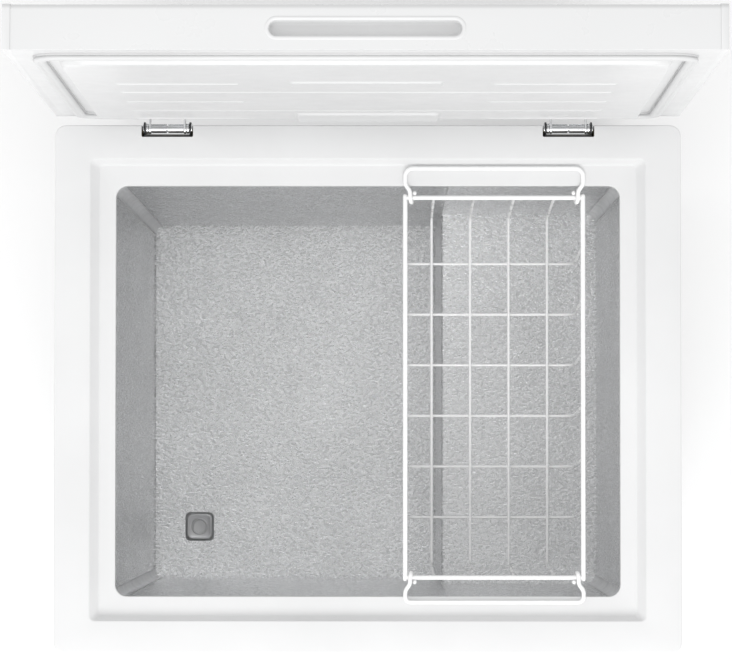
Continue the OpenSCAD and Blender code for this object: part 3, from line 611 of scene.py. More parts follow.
def tub_paths(arc=12):
    """The tub's outline in two open paths that meet at the step: the deep part's and the step's."""
    x, y0, y1 = TUB_X, TUB_FRONT, TUB_BACK
    r = TUB_R
    a = np.linspace(0, np.pi / 2, arc + 1)

    def corner(cx, cy, turn):
        return np.stack([cx + r * np.cos(a + turn), cy + r * np.sin(a + turn)], -1)

    back, front = np.array([[STEP_X, y1]]), np.array([[STEP_X, y0]])
    deep = [back, corner(-x + r, y1 - r, np.pi / 2), corner(-x + r, y0 + r, np.pi), front]
    step = [front, corner(x - r, y0 + r, -np.pi / 2), corner(x - r, y1 - r, 0), back]
    return np.concatenate(deep), np.concatenate(step)


def level(path, z, lean=0.0):
    """A path at a height, with its points at the step moved by the riser's lean."""
    moved = np.where(np.isclose(path[:, 0], STEP_X), path[:, 0] - lean, path[:, 0])
    return np.c_[moved, path[:, 1], np.full(len(path), z)]


def build_tub(detail):
    """The liner: walls from its outline, a flat floor and step, then the sheet's thickness.

    The step's riser leans out at its foot, as a folded face does.
    """
    deep, step = tub_paths()
    foot, top = level(deep, FLOOR_Z, RISER_LEAN), level(deep, STEP_TOP)
    shape = Shape().grid(np.stack([foot, top]))
    around = np.concatenate([deep, step[1:-1]])
    shape.grid(np.stack([level(around, STEP_TOP), level(around, TUB_TOP)]), wrap_columns=True)
    shape.grid(np.stack([foot[[-1, 0]], top[[-1, 0]]]))
    for outline in (foot, level(step, STEP_TOP)):
        shape.field(outline)
    finish = FINISHES["embossed_aluminium"]()
    tub = piece("tub_liner", shape, "cabinet", finish, ["inner_liner"])
    skin = tub.modifiers.new("sheet", "SOLIDIFY")
    skin.thickness = SHEET
    skin.offset = 1.0
    settle(tub)
    bore = [(DRAIN_R, FLOOR_Z - 0.01), (DRAIN_R, FLOOR_Z + 0.01)]
    cut(tub, [turned(bore, (DRAIN[0], DRAIN[1], 0))], 40)
    build_seams(detail)
    build_corners(detail)


def build_corners(detail):
    """Smooth strips up the tub's four corners, bent to the corner's radius, in a lighter aluminium
    that is a painted highlight on the rounded corners.

    Each section is a crescent between the arcs r (cos a, sin a) and (r - t) (cos a, sin a).
    """
    a = np.linspace(0, np.pi / 2, 13)
    outer, inner = TUB_R - SKIN_GAP, TUB_R - detail.strip
    x, y0, y1 = TUB_X - TUB_R, TUB_FRONT + TUB_R, TUB_BACK - TUB_R
    centres = [(x, y1, STEP_TOP), (-x, y1, FLOOR_Z), (-x, y0, FLOOR_Z), (x, y0, STEP_TOP)]
    strips = Shape()
    for quarter, (cx, cy, low_z) in enumerate(centres):
        turn = a + quarter * np.pi / 2
        arcs = [np.stack([cx + r * np.cos(t), cy + r * np.sin(t)], -1)
                for r, t in ((outer, turn), (inner, turn[::-1]))]
        section = np.concatenate(arcs)
        rows = [np.c_[section, np.full(len(section), z)]
                for z in np.linspace(low_z + 0.0003, RIM_LOW[2] - 0.001, 30)]
        stack(rows, caps=True, shape=strips)
    piece("tub_corner_strips", strips, "cabinet", FINISHES["corner_aluminium"]())


def build_seams(detail):
    """Rolled seams: low round beads along the folds at the floor and step, and up both long walls."""
    x, y0, y1 = TUB_X, TUB_FRONT, TUB_BACK
    r = detail.seam / 2
    sunk = r * 0.35
    foot_x = STEP_X - RISER_LEAN
    clear, short = TUB_R + 0.001, 0.003
    along = [(-x + sunk, clear, FLOOR_Z + sunk), (foot_x - sunk, short, FLOOR_Z + sunk),
             (STEP_X + sunk, short, STEP_TOP - sunk)]
    runs = [[(at, y0 + ins, z), (at, y1 - ins, z)] for at, ins, z in along]
    runs += [[(STEP_X, y, STEP_TOP + 0.002), (STEP_X, y, RIM_LOW[2] - 0.002)]
             for y in (y1 - sunk, y0 + sunk)]
    seams = Shape()
    for a, b in runs:
        swept(np.linspace(a, b, 60), r, 10, shape=seams)
    # The beads take the copy of the embossed finish whose crests carry a stronger painted highlight.
    piece("tub_seams", seams, "cabinet", FINISHES["embossed_aluminium"](bright=True))


# ---- the lid ----


def shut(points):
    """Turns points of the open lid back to where they lie when it is shut."""
    c, s = math.cos(LID_OPEN), math.sin(LID_OPEN)
    y, z = points[..., 1] - HINGE[1], points[..., 2] - HINGE[2]
    return np.stack([points[..., 0], HINGE[1] + y * c - z * s, HINGE[2] + y * s + z * c], -1)


def shut_box(node):
    """A lid node's lowest and highest corners when the lid is shut."""
    points = shut(corners_of(node))
    return points.min(0), points.max(0)


PANEL_LOW, PANEL_HIGH = shut_box("lid_inner_panel")
GASKET_LOW, GASKET_HIGH = shut_box("lid_gasket")
GRIP_LOW, GRIP_HIGH = shut_box("grip_cup")
LID_LOW = shut_box("lid_outer")[0][2]


def lines(span, spots, reach, fine, coarse):
    """Grid lines over a span: close together within reach of each spot, far apart elsewhere."""
    marks = [np.arange(span[0], span[1], coarse), [span[1]]]
    marks += [np.arange(s - reach, s + reach + fine / 2, fine) for s in spots]
    flat = np.unique(np.round(np.concatenate(marks), 6))
    flat = flat[(flat >= span[0]) & (flat <= span[1])]
    keep = np.concatenate([[True], np.diff(flat) > fine * 0.45])
    keep[-1] = True
    return flat[keep]


def raised(x, y, area, r, height, slope):
    """A flat-topped bump: its rounded outline's distance, eased up to a height over a slope's width."""
    x0, x1, y0, y1 = area
    dx = np.abs(x - (x0 + x1) / 2) - (x1 - x0) / 2 + r
    dy = np.abs(y - (y0 + y1) / 2) - (y1 - y0) / 2 + r
    away = np.hypot(np.maximum(dx, 0), np.maximum(dy, 0)) + np.minimum(np.maximum(dx, dy), 0) - r
    t = np.clip(-away / slope, 0, 1)
    return height * t * t * (3 - 2 * t)


RIB_HALF = 0.0035
RIB_END = 0.230
RIB_START = 0.115
WHOLE_RIBS = (-0.017, 0.138)
SPLIT_RIBS = (-0.083, 0.061, 0.208)
BAR_HALF = 0.0715
PAD_HALF, PAD_LONG, PAD_RISE = 0.072, 0.066, 0.0025
PANEL_WALL = 0.0018


def panel_features(detail):
    """The raised areas of the inner panel: (x0, x1, y0, y1), corner radius, height and slope."""
    in_x, in_y = 0.020, 0.017
    plateau = (GASKET_LOW[0] + in_x, GASKET_HIGH[0] - in_x, GASKET_LOW[1] + in_y,
               GASKET_HIGH[1] - in_y)
    rise = LID_LOW - PANEL_LOW[2] - PAD_RISE
    ribs = [(-RIB_END, RIB_END, y) for y in WHOLE_RIBS]
    for y in SPLIT_RIBS:
        ribs += [(-RIB_END, -RIB_START, y), (RIB_START, RIB_END, y)]
    made = [(plateau, 0.014, rise, 0.005)]
    for x0, x1, y in ribs:
        made.append(((x0, x1, y - RIB_HALF, y + RIB_HALF), 0.0034, detail.rib, 0.0030))
    made.append(((-BAR_HALF, BAR_HALF, -0.101, -0.067), 0.006, detail.rib * 1.3, 0.004))
    pad = (-PAD_HALF, PAD_HALF, plateau[3] - PAD_LONG, plateau[3])
    made.append((pad, 0.008, PAD_RISE, 0.004))
    return made


def build_inner_panel(detail):
    """A height field on a grid whose lines crowd together at each raised edge, given a wall."""
    features = panel_features(detail)
    x_spots = sorted({round(v, 5) for f in features for v in f[0][:2]})
    y_spots = sorted({round(v, 5) for f in features for v in f[0][2:]})
    x = lines((PANEL_LOW[0], PANEL_HIGH[0]), x_spots, 0.008, 0.001, 0.02)
    y = lines((PANEL_LOW[1], PANEL_HIGH[1]), y_spots, 0.0065, 0.001, 0.02)
    gx, gy = np.meshgrid(x, y, indexing="ij")
    z = LID_LOW - sum(raised(gx, gy, area, r, h, slope) for area, r, h, slope in features)
    over = np.stack([gx, gy, z], -1)
    under = np.stack([gx, gy, z + PANEL_WALL], -1)[:, ::-1]
    sheet = np.concatenate([over, under], 1)
    shape = Shape().grid(sheet, wrap_columns=True)
    end_strips(shape, sheet)
    panel = piece("lid_panel", open_shape(shape), "lid", FINISHES["white_plastic"](soft=True),
                  ["lid_inner_panel", "lid_foam"], 50)
    cutters = []
    half, start, past = 0.0195, HINGE[1] - 0.0058, PANEL_HIGH[1] + 0.02
    for hx in HINGES:
        loop = [rounded_loop(hx - half, hx + half, start, past, 0.001, z, 3, 1)
                for z in (LID_LOW - 0.012, LID_LOW + 0.012)]
        cutters.append(open_shape(stack(loop, caps=True)))
    cut(panel, cutters, 50)


def end_strips(shape, sheet):
    """Closes the two ends of a wrapped sheet with a row of quads between its two sides."""
    rows, columns = sheet.shape[:2]
    half = columns // 2
    k = np.arange(half - 1)
    for start, turn in ((0, 1), ((rows - 1) * columns, -1)):
        quads = np.stack([k, k + 1, columns - 2 - k, columns - 1 - k], -1) + start
        shape.faces += quads[:, ::-turn].tolist()


def gasket_shape():
    """A bulb seal: a closed section of a foot, a neck and a soft tube carried round the lid."""
    x1, y0, y1 = GASKET_HIGH[0], GASKET_LOW[1], GASKET_HIGH[1]
    top, foot = GASKET_LOW[2], GASKET_HIGH[2]
    wide, deep = 0.011, foot - top
    section = [(0.0, 0.0), (0.0, 0.16), (0.10, 0.22), (0.14, 0.34), (0.05, 0.42), (0.0, 0.60),
               (0.04, 0.80), (0.16, 0.94), (0.34, 1.0), (0.46, 0.97), (0.50, 0.93), (0.54, 0.97),
               (0.66, 1.0), (0.84, 0.94), (0.96, 0.80), (1.0, 0.60), (0.95, 0.42), (0.86, 0.34),
               (0.90, 0.22), (1.0, 0.16), (1.0, 0.0)]
    rows = [(x1 - wide * u, y0 + wide * u, y1 - wide * u, 0.025 - wide * u, foot - deep * v - 0.0001)
            for u, v in section]
    return stack(loops(rows, arc=12, side=6, lift=opened), closed=True)


def stadium(x, z, half, tall, y, steps=14):
    """Points round an upright slot with round ends, which reaches half either side of x."""
    r = tall / 2
    a = np.linspace(-np.pi / 2, np.pi / 2, steps + 1)
    right = np.stack([x + half - r + r * np.cos(a), z + r * np.sin(a)], -1)
    left = np.stack([x - half + r - r * np.cos(a), z - r * np.sin(a)], -1)
    flat = np.concatenate([right, left])
    return np.stack([flat[:, 0], np.full(len(flat), y), flat[:, 1]], -1)


def build_grip(detail):
    """The recessed grip: slots that shrink and sink from a rounded flange to a filleted floor."""
    front = GRIP_LOW[1]
    x, z = (GRIP_LOW[0] + GRIP_HIGH[0]) / 2, (GRIP_LOW[2] + GRIP_HIGH[2]) / 2
    half, tall = (GRIP_HIGH[0] - GRIP_LOW[0]) / 2, GRIP_HIGH[2] - GRIP_LOW[2]
    deep = GRIP_HIGH[1] - front
    steps = [(0.0, 0.0011), (0.0002, 0.0004), (0.0008, 0.0), (0.0022, 0.0), (0.0032, 0.0003),
             (0.0037, 0.0012), (0.0040, 0.004), (0.0043, deep - 0.0045), (0.0047, deep - 0.0032),
             (0.0056, deep - 0.0021), (0.0070, deep - 0.0017), (0.0090, deep - 0.0016)]
    inner = [opened(stadium(x, z, half - d, tall - 2 * d, front + y)) for d, y in steps]
    outer = [opened(stadium(x, z, half - d, tall - 2 * d, front + y))
             for d, y in [(0.0092, deep - 0.0002), (0.0030, deep - 0.0002), (0.0026, deep - 0.0012),
                          (0.0022, 0.0016), (0.0, 0.0014)]]
    shape = Shape()
    rows = np.stack(inner)
    shape.grid(rows, wrap_columns=True)
    shape.faces.append(list(range(shape.count - rows.shape[1], shape.count)))
    back = np.stack(outer + [inner[0]])
    start = shape.count
    shape.grid(back, wrap_columns=True)
    shape.faces.append(list(range(start, start + back.shape[1]))[::-1])
    piece("lid_grip", shape, "lid", FINISHES["white_plastic"](), ["grip_cup"], 50)


def build_lid_shell(detail):
    """The lid's painted skin and end caps with eased edges, and its seal."""
    softened("lid_skin", "lid_outer", FINISHES["white_paint"](), 0.0003, 2)
    for side in ("left", "right"):
        softened(f"lid_cap_{side}", f"lid_end_cap_{side}", FINISHES["white_plastic"](), 0.0006, 3)
    piece("lid_seal", gasket_shape(), "lid", FINISHES["white_rubber"](),
          ["lid_gasket"], 60)


# ---- the basket ----

RAIL_R = (high("basket_frame")[2] - low("basket_frame")[2]) / 2
FRAME_Z = middle("basket_frame")[2]
RAIL_LEFT, RAIL_RIGHT = low("basket_frame")[0] + RAIL_R, high("basket_frame")[0] - RAIL_R
END_FRONT, END_BACK = low("basket_frame")[1] + RAIL_R, high("basket_frame")[1] - RAIL_R
CROSS_R = 0.0014
BAIL_R = 0.0021
CROSS_COUNT, LONG_COUNT = 6, 4
CROSS_Z = low("basket_cross_wires")[2] + CROSS_R
LONG_Z = CROSS_Z + 2 * CROSS_R - 0.0002


def weld(shape, place, r, along):
    """A resistance weld: a squashed ball where two wires cross, longer along one direction."""
    u = np.linspace(0.12, np.pi - 0.12, 7)[:, None]
    v = np.linspace(0, 2 * np.pi, 10, endpoint=False)[None]
    ball = np.stack([np.sin(u) * np.cos(v), np.sin(u) * np.sin(v), np.cos(u) + 0 * v], -1)
    shape.grid(np.array(place) + ball * r * np.array(along), wrap_columns=True, caps=True)


def build_basket(detail):
    """Wires swept along rounded paths, the mesh of six bowed wires under four long ones."""
    finish = FINISHES["coated_wire"]()
    sides = detail.wire_sides
    frame_shape = Shape()
    end_r = RAIL_R - 0.0001
    for x in (RAIL_LEFT, RAIL_RIGHT):
        swept(np.linspace((x, END_FRONT - 0.0016, FRAME_Z), (x, END_BACK + 0.0016, FRAME_Z), 24),
              RAIL_R, sides + 4, shape=frame_shape)
    for y in (END_FRONT, END_BACK):
        swept(np.linspace((RAIL_LEFT, y, FRAME_Z), (RAIL_RIGHT, y, FRAME_Z), 16), end_r, sides + 4,
              shape=frame_shape)
        for x in (RAIL_LEFT, RAIL_RIGHT):
            weld(frame_shape, (x, y, FRAME_Z), RAIL_R * 1.12, (1.0, 1.0, 0.9))
    piece("basket_rails", frame_shape, "basket", finish, ["basket_frame"], 50)

    cross = Shape()
    pitch = (END_BACK - END_FRONT) / 7.17
    mid_y = (END_BACK + END_FRONT) / 2
    cross_rows = [mid_y + (i - (CROSS_COUNT - 1) / 2) * pitch for i in range(CROSS_COUNT)]
    for y in cross_rows:
        path = [(RAIL_LEFT, y, FRAME_Z), (RAIL_LEFT, y, CROSS_Z), (RAIL_RIGHT, y, CROSS_Z),
                (RAIL_RIGHT, y + 0.009, FRAME_Z)]
        swept(rounded_path(path, 0.012, 8), CROSS_R, sides, shape=cross)
    piece("basket_cross", cross, "basket", finish,
          ["basket_cross_wires"], 50)

    long_wires = Shape()
    long_pitch = (RAIL_RIGHT - RAIL_LEFT) / 4.42
    mid_x = (RAIL_LEFT + RAIL_RIGHT) / 2
    for i in range(LONG_COUNT):
        x = mid_x + (i - (LONG_COUNT - 1) / 2) * long_pitch
        path = [(x, END_FRONT, FRAME_Z), (x, END_FRONT + 0.009, LONG_Z), (x, END_BACK - 0.009, LONG_Z),
                (x, END_BACK, FRAME_Z)]
        swept(rounded_path(path, 0.010, 8), CROSS_R, sides, shape=long_wires)
        for y in cross_rows:
            weld(long_wires, (x, y, (CROSS_Z + LONG_Z) / 2), CROSS_R * 1.25, (1.0, 1.0, 1.15))
    piece("basket_long", long_wires, "basket", finish,
          ["basket_long_wires"], 50)
    for name, y, out in (("rear", END_BACK, 1), ("front", END_FRONT, -1)):
        build_bail(name, y, out, finish, sides)


def build_bail(name, y, out, finish, sides):
    """An end handle: an eye round the end wire, a leg in line with the rail, and the grip bar."""
    node = f"basket_bail_{name}"
    r = BAIL_R
    reach = (high(node)[1] - y if out > 0 else y - low(node)[1]) - r
    eye = RAIL_R + r + 0.0003
    eye_turn, gap = 290, 0.0004
    halves = []
    for x_leg, inward in ((RAIL_LEFT, 1), (RAIL_RIGHT, -1)):
        x_eye = x_leg + inward * (RAIL_R + r + gap)
        t = np.linspace(1, 0, 31)
        a = np.radians(90 + eye_turn * t)
        loop = np.stack([x_eye + inward * (2 * r + gap) * t, y + out * eye * np.cos(a),
                         FRAME_Z + eye * np.sin(a)], -1)
        leg = rounded_path([loop[-1], (x_eye, y + out * 0.0065, FRAME_Z + eye),
                            (x_leg, y + out * 0.013, FRAME_Z + eye),
                            (x_leg, y + out * reach, FRAME_Z + eye),
                            (x_leg + inward * 0.03, y + out * reach, FRAME_Z + eye)], 0.008, 8)
        halves.append(np.concatenate([loop[:-1], leg]))
    path = np.concatenate([halves[0], halves[1][::-1]])
    piece(f"bail_{name}", swept(path, r, sides + 2), f"{name}_bail", finish, [node], 50)


# ---- hinges, drain, controls, feet and machinery ----

TUBE_START, TUBE_END, TUBE_R, TUBE_RING = 0.0008, 0.0162, 0.0046, 0.0022
WASHER_START, WASHER_END = 0.0188, 0.0217
PIN_HEAD_T, PIN_HEAD_OVER = 0.0012, 0.0015
RING_SIDES = 32


def build_hinges(detail):
    """Brackets and leaves with eased edges, and turned barrels with drawn rings round them."""
    for side, x in zip(("left", "right"), HINGES):
        softened(f"bracket_{side}", f"hinge_base_{side}", FINISHES["dark_bracket"](), 0.0005, 2)
        softened(f"leaf_{side}", f"hinge_leaf_{side}", FINISHES["chrome_steel"](), 0.0004, 2)
        pin = f"hinge_pin_{side}"
        half = half_width(pin)
        head = (high(pin)[2] - low(pin)[2]) / 2
        pin_r = head - PIN_HEAD_OVER
        body = half - PIN_HEAD_T
        profile = [(0.0, -half), (head - 0.0008, -half), (head - 0.0002, -half + 0.0003),
                   (head, -half + 0.0007), (head, -body), (pin_r, -body), (pin_r, body), (head, body),
                   (head, half - 0.0007), (head - 0.0002, half - 0.0003), (head - 0.0008, half),
                   (0.0, half)]
        axis = (x, HINGE[1], HINGE[2])
        chrome = FINISHES["chrome_steel"]()
        piece(f"pin_{side}", turned(profile, axis, "X", RING_SIDES), "cabinet", chrome,
              [pin])
        rings = Shape()
        bore = pin_r + 0.00005
        for out in (-1, 1):
            t = np.linspace(TUBE_START, TUBE_END, 45)
            turn = (t - TUBE_START) * 2 * np.pi / TUBE_RING
            groove = TUBE_R - 0.00022 * (0.5 - 0.5 * np.cos(turn))
            tube = [(bore, TUBE_START), (0.0040, TUBE_START)] + list(zip(groove, t + 0.00005))
            tube += [(0.0040, TUBE_END), (bore, TUBE_END)]
            washer = [(bore, WASHER_START), (0.0046, WASHER_START), (0.0051, 0.0191),
                      (0.0052, 0.0196), (0.0052, 0.0209), (0.0051, 0.0214),
                      (0.0046, WASHER_END), (bore, WASHER_END)]
            for outline in (tube, washer):
                ring = turned([(r, out * h) for r, h in outline], axis, "X", RING_SIDES)
                ring.faces = grid_faces(len(outline), RING_SIDES, True, True).tolist()
                rings.add(ring)
        piece(f"barrel_{side}", rings, "cabinet", chrome,
              [f"hinge_barrel_{side}"])


def build_drain(detail):
    """The drain's square plate and its cap: rounded squares that rise, ring and dip to a dimple."""
    x, y = DRAIN[0], DRAIN[1]
    half = half_width("drain_socket")
    floor, top = FLOOR_Z, high("drain_socket")[2]

    def squares(rows):
        return [rounded_loop(x - w, x + w, y - w, y + w, min(r, w), z, 10, 4) for w, r, z in rows]

    plate = squares([(half, 0.006, floor + 0.0001), (half, 0.006, top - 0.0005),
                     (half - 0.0005, 0.0055, top), (0.0070, 0.0069, top), (0.0066, 0.0065, top - 0.0004),
                     (0.0065, 0.0064, floor - 0.0008), (0.0079, 0.0078, floor - 0.0008),
                     (0.0079, 0.0078, floor + 0.0001)])
    piece("drain_plate", stack(plate, closed=True), "cabinet", FINISHES["grey_plastic"](),
          ["drain_socket"])
    cap = "drain_cap_inner"
    w, z, foot = half_width(cap), high(cap)[2], low(cap)[2]
    stem = 0.0062
    rows = [(stem - 0.001, stem - 0.0011, foot), (stem, stem - 0.0001, foot + 0.001),
            (stem, stem - 0.0001, z - 0.0025), (w - 0.0006, 0.0055, z - 0.0025), (w, 0.006, z - 0.0020),
            (w, 0.006, z - 0.0009), (w - 0.0003, 0.0058, z - 0.0004), (w - 0.0010, 0.0052, z),
            (w - 0.0024, 0.0046, z - 0.0001), (w - 0.0032, 0.0044, z - 0.0008),
            (0.0098, 0.0097, z - 0.0009), (0.0094, 0.0093, z - 0.0002), (0.0086, 0.0085, z),
            (0.0078, 0.0077, z - 0.0002), (0.0074, 0.0073, z - 0.0009), (0.0030, 0.0029, z - 0.0012),
            (0.0012, 0.0011, z - 0.0013)]
    piece("drain_cap", stack(squares(rows), caps=True), "inner_drain_cap",
          FINISHES["satin_grey"](), [cap], 50)
    build_plug(stem)


def build_plug(stem):
    """The drain plug outside: a turned cap with shallow grooves round it, on a stem."""
    plug = "drain_plug_outer"
    r = half_width(plug)
    front, back = low(plug)[1], high(plug)[1]
    face = SHELL_Y
    profile = [(0.0, front + 0.0012), (0.006, front + 0.0010), (0.0085, front + 0.0002),
               (r - 0.0022, front), (r - 0.0007, front + 0.0004), (r, front + 0.0014),
               (r, -face - 0.0009), (r - 0.0004, -face - 0.0004), (stem, -face - 0.0004),
               (stem, back - 0.001), (stem - 0.001, back), (0.0, back)]
    grooved = turned(profile, facing(plug), "Y", 72, lambda a: 1 - 0.012 * (np.cos(24 * a) > 0.3))
    piece("drain_plug", grooved, "outer_drain_plug", FINISHES["white_plastic"](),
          [plug], 50)


def build_controls(detail):
    """The panel with its cup, then the dial, the ticks round it and the two lamps."""
    softened("panel_bezel", "control_bezel", FINISHES["white_plastic"](), 0.0006, 3)
    build_dial()
    build_marks()
    build_lamps()


def build_dial():
    """A turned dial with ribs round its side and a raised pointer across its face."""
    knob = "thermostat_knob"
    r = half_width(knob)
    y0, y1 = low(knob)[1], high(knob)[1]
    place = facing(knob)
    profile = [(0.0, y0 + 0.0014), (r * 0.62, y0 + 0.0014), (r * 0.70, y0 + 0.0010),
               (r * 0.78, y0 + 0.0005), (r - 0.0016, y0 + 0.0008), (r - 0.0006, y0 + 0.0018),
               (r, y0 + 0.0034), (r, y1 - 0.0008), (r - 0.0006, y1), (0.0045, y1),
               (0.0031, y1 - 0.0004), (0.0031, y1 - 0.005), (0.0, y1 - 0.005)]
    dial = turned(profile, place, "Y", 192,
                  lambda a: 1 - 0.030 * (0.5 - 0.5 * np.cos(32 * a)) ** 2)
    bar = [rounded_loop(-0.0022, 0.0022, -r + 0.0045, r - 0.0030, 0.0021, 0, 6, 1) * s
           for s in ((1, 1, 1), (1, 1, 1), (0.86, 0.97, 1), (0.55, 0.90, 1))]
    heights = (y0 + 0.0020, y0 + 0.0006, y0 + 0.0001, y0)
    rows = [np.stack([p[:, 0] + place[0], np.full(len(p), h), p[:, 1] + place[2]], -1)
            for p, h in zip(bar, heights)]
    dial.grid(np.stack(rows), wrap_columns=True, caps=True)
    piece("dial", dial, "thermostat_dial", FINISHES["white_plastic"](), [knob], 50)


def build_marks():
    """Ticks printed round the dial, every fourth one larger."""
    marks = Shape()
    place = facing("thermostat_knob")
    face = low("control_bezel")[1]
    ticks, sweep, mark_ring = 9, 270, 0.0262
    for k in range(ticks):
        a = math.radians(90 + sweep / 2 - sweep * k / (ticks - 1))
        size = 0.0010 if k % 4 else 0.0014
        spot = (place[0] + mark_ring * math.cos(a), 0.0, place[2] + mark_ring * math.sin(a))
        dot = [(0.0, face - 0.0003), (size * 0.7, face - 0.0003), (size, face - 0.0001),
               (size, face + 0.0004), (0.0, face + 0.0004)]
        marks.add(turned(dot, spot, "Y", 20))
    piece("dial_marks", marks, "cabinet", FINISHES["grey_plastic"]())


def build_lamps():
    """Two lenses, each with a low dome: radius r sin t, height 0.35 r (1 - cos t)."""
    for node, slot in (("power_lamp", "green_lens"), ("run_lamp", "amber_lens")):
        r = half_width(node)
        front, back = low(node)[1], high(node)[1]
        dome = [(r * math.sin(t), front + r * 0.35 * (1 - math.cos(t)))
                for t in np.linspace(0, math.pi / 2, 9)]
        shape = turned(dome + [(r, back), (0.0, back)], facing(node), "Y", 32)
        piece(f"{node}_lens", shape, "cabinet", FINISHES[slot](), [node], 40)


def build_feet(detail):
    """Rubber feet: a turned cup with a rounded rim and three grooves round its side."""
    for end in ("front", "rear"):
        for side in ("left", "right"):
            node = f"foot_{end}_{side}"
            r, h = half_width(node), high(node)[2]
            x, y, _ = middle(node)
            t = np.linspace(0.0, 1.0, 25)
            cone = r - 0.003 * np.clip((t * h - 0.002) / (h - 0.002), 0, 1)
            groove = 0.0006 * np.clip(np.cos((t - 0.15) * 3 * 2 * np.pi), 0, 1) ** 2
            body = [(c - g, max(k * h, 0.002)) for c, g, k in zip(cone, groove, t) if k * h > 0.002]
            profile = [(0.0, 0.0015), (r * 0.35, 0.0015), (r * 0.42, 0.0004), (r * 0.5, 0.0),
                       (r - 0.0024, 0.0), (r - 0.0008, 0.0006)] + body + [(r - 0.003, h), (0.0, h)]
            piece(f"{node}_pad", turned(profile, (x, y, 0), "Z", 64), "cabinet",
                  FINISHES["black_rubber"](), [node], 40)


def build_machinery(detail):
    """What shows through the grille and from below: eased copies of the CAD parts."""
    for node, width in (("rear_grille", 0.0005), ("grille_screws", 0.0004), ("cord_gland", 0.0005),
                        ("hinge_screws", 0.0004), ("terminal_cover", 0.0012),
                        ("compressor_grommets", 0.0006), ("compressor_bolts", 0.0005),
                        ("compressor_base_plate", 0.0004), ("compressor_shell", 0.0006),
                        ("filter_drier", 0.0006), ("bottom_pan", 0.0004)):
        softened(f"{node}_look", node, FINISHES[SLOT_OF[node]](), width, 2)


# ---- the finish of each material slot ----


def once(make):
    """Remembers what a finish was made with, so that pieces share one material."""
    kept = {}

    def get(**how):
        key = tuple(sorted(how.items()))
        if key not in kept:
            kept[key] = make(**how)
        return kept[key]

    return get


def colour(name):
    """A colour that the user set in the Freezer colours."""
    return tuple(getattr(bpy.context.scene.freezer_colours, name))


def lens(name, color):
    """A clear coloured lens over a dim lamp."""
    f = Finish(name, color, 0.12, Transmission_Weight=0.35, IOR=1.49, Emission_Strength=0.15)
    f.put("Emission Color", (*color, 1.0))
    f.put("Roughness", f.ranged(f.noise(300.0), 0.08, 0.2))
    f.relief(f.cells(900.0, smooth=True), 0.0002, 0.6)
    return f.material


def foam(name, color):
    """Foamed-in-place insulation: open cells and darker stains."""
    f = Finish(name, color, 0.9)
    f.put("Base Color", f.blended(f.noise(12.0, 5.0, 0.7), shade(color, 0.75), shade(color, 1.05)))
    broad = f.relief(f.noise(60.0, 4.0), 0.002, 0.8)
    f.relief(f.cells(700.0), 0.0008, 0.8, broad)
    return f.material


def winding(name, color):
    """Iron stacked in thin sheets round a motor."""
    f = Finish(name, color, 0.5, 0.8)
    f.put("Base Color", f.blended(f.noise(60.0, 4.0), shade(color, 0.7), shade(color, 1.1)))
    f.relief(f.node("TexWave", {"Vector": f.place, "Scale": 300.0}, bands_direction="Z").outputs[1],
             0.0003, 0.7)
    return f.material


FINISHES = {
    "white_paint": once(lambda: painted("white_paint", colour("paint"))),
    "white_plastic": once(lambda soft=False: moulded(
        "white_plastic_soft" if soft else "white_plastic", colour("plastic"), 0.34 if soft else 0.40,
        900.0 if soft else 1400.0)),
    "white_rubber": once(lambda: moulded("white_rubber", shade(colour("plastic"), 0.93), 0.62,
                                         2200.0, 0.00003)),
    "coated_wire": once(lambda: painted("coated_wire", colour("wire"), 0.28, 700.0)),
    # The copy made for the seams has a stronger painted highlight on its crests, a slightly rougher gloss and
    # deeper relief.
    "embossed_aluminium": once(lambda bright=False: embossed(
        "bright_aluminium" if bright else "embossed_aluminium", colour("aluminium"),
        0.30 if bright else 0.27, 0.0022, 0.00040 if bright else 0.00024, 1.3 if bright else 1.0)),
    # Aluminium made 1.3 times lighter: a painted highlight for the tub's rounded corners.
    "corner_aluminium": once(lambda: plated("corner_aluminium", shade(colour("aluminium"), 1.3), 0.42)),
    "grey_paint": once(lambda: painted("grey_paint", (0.55, 0.56, 0.57), 0.42, 300.0)),
    "zinc_sheet": once(lambda: plated("zinc_sheet", (0.62, 0.64, 0.66), 0.38, spangle=55.0)),
    "zinc_steel": once(lambda: plated("zinc_steel", (0.72, 0.73, 0.72), 0.30)),
    "chrome_steel": once(lambda: plated("chrome_steel", (0.78, 0.79, 0.80), 0.16, (0.06, 1, 1), 1600.0)),
    "dark_bracket": once(lambda: painted("dark_bracket", (0.030, 0.031, 0.034), 0.36, 500.0,
                                         Metallic=0.3)),
    "copper": once(lambda: plated("copper", (0.83, 0.44, 0.28), 0.26, (1, 1, 0.1), 600.0)),
    "motor_iron": once(lambda: winding("motor_iron", (0.25, 0.23, 0.21))),
    "black_enamel": once(lambda: painted("black_enamel", (0.012, 0.012, 0.013), 0.26, 260.0)),
    "black_plastic": once(lambda: moulded("black_plastic", (0.020, 0.020, 0.021), 0.45)),
    "black_rubber": once(lambda: moulded("black_rubber", (0.024, 0.024, 0.025), 0.72, 1800.0, 0.00004)),
    "grey_plastic": once(lambda: moulded("grey_plastic", (0.42, 0.425, 0.43), 0.42)),
    "satin_grey": once(lambda: painted("satin_grey", (0.66, 0.662, 0.667), 0.40, 500.0, Metallic=0.8)),
    "clear_pvc": once(lambda: moulded("clear_pvc", (0.80, 0.82, 0.84), 0.25, 800.0, 0.00002,
                                      Transmission_Weight=0.4)),
    "green_lens": once(lambda: lens("green_lens", (0.05, 0.62, 0.12))),
    "amber_lens": once(lambda: lens("amber_lens", (0.95, 0.42, 0.04))),
    "pu_foam": once(lambda: foam("pu_foam", (0.78, 0.68, 0.42))),
}


def dress_frame():
    """Gives every CAD node the finish of its material slot."""
    for node, part in NODES.items():
        material = FINISHES[SLOT_OF[node]]()
        if not part.material_slots:
            part.data.materials.append(material)
        for place in part.material_slots:
            place.material = material


# ---- what a user can change ----


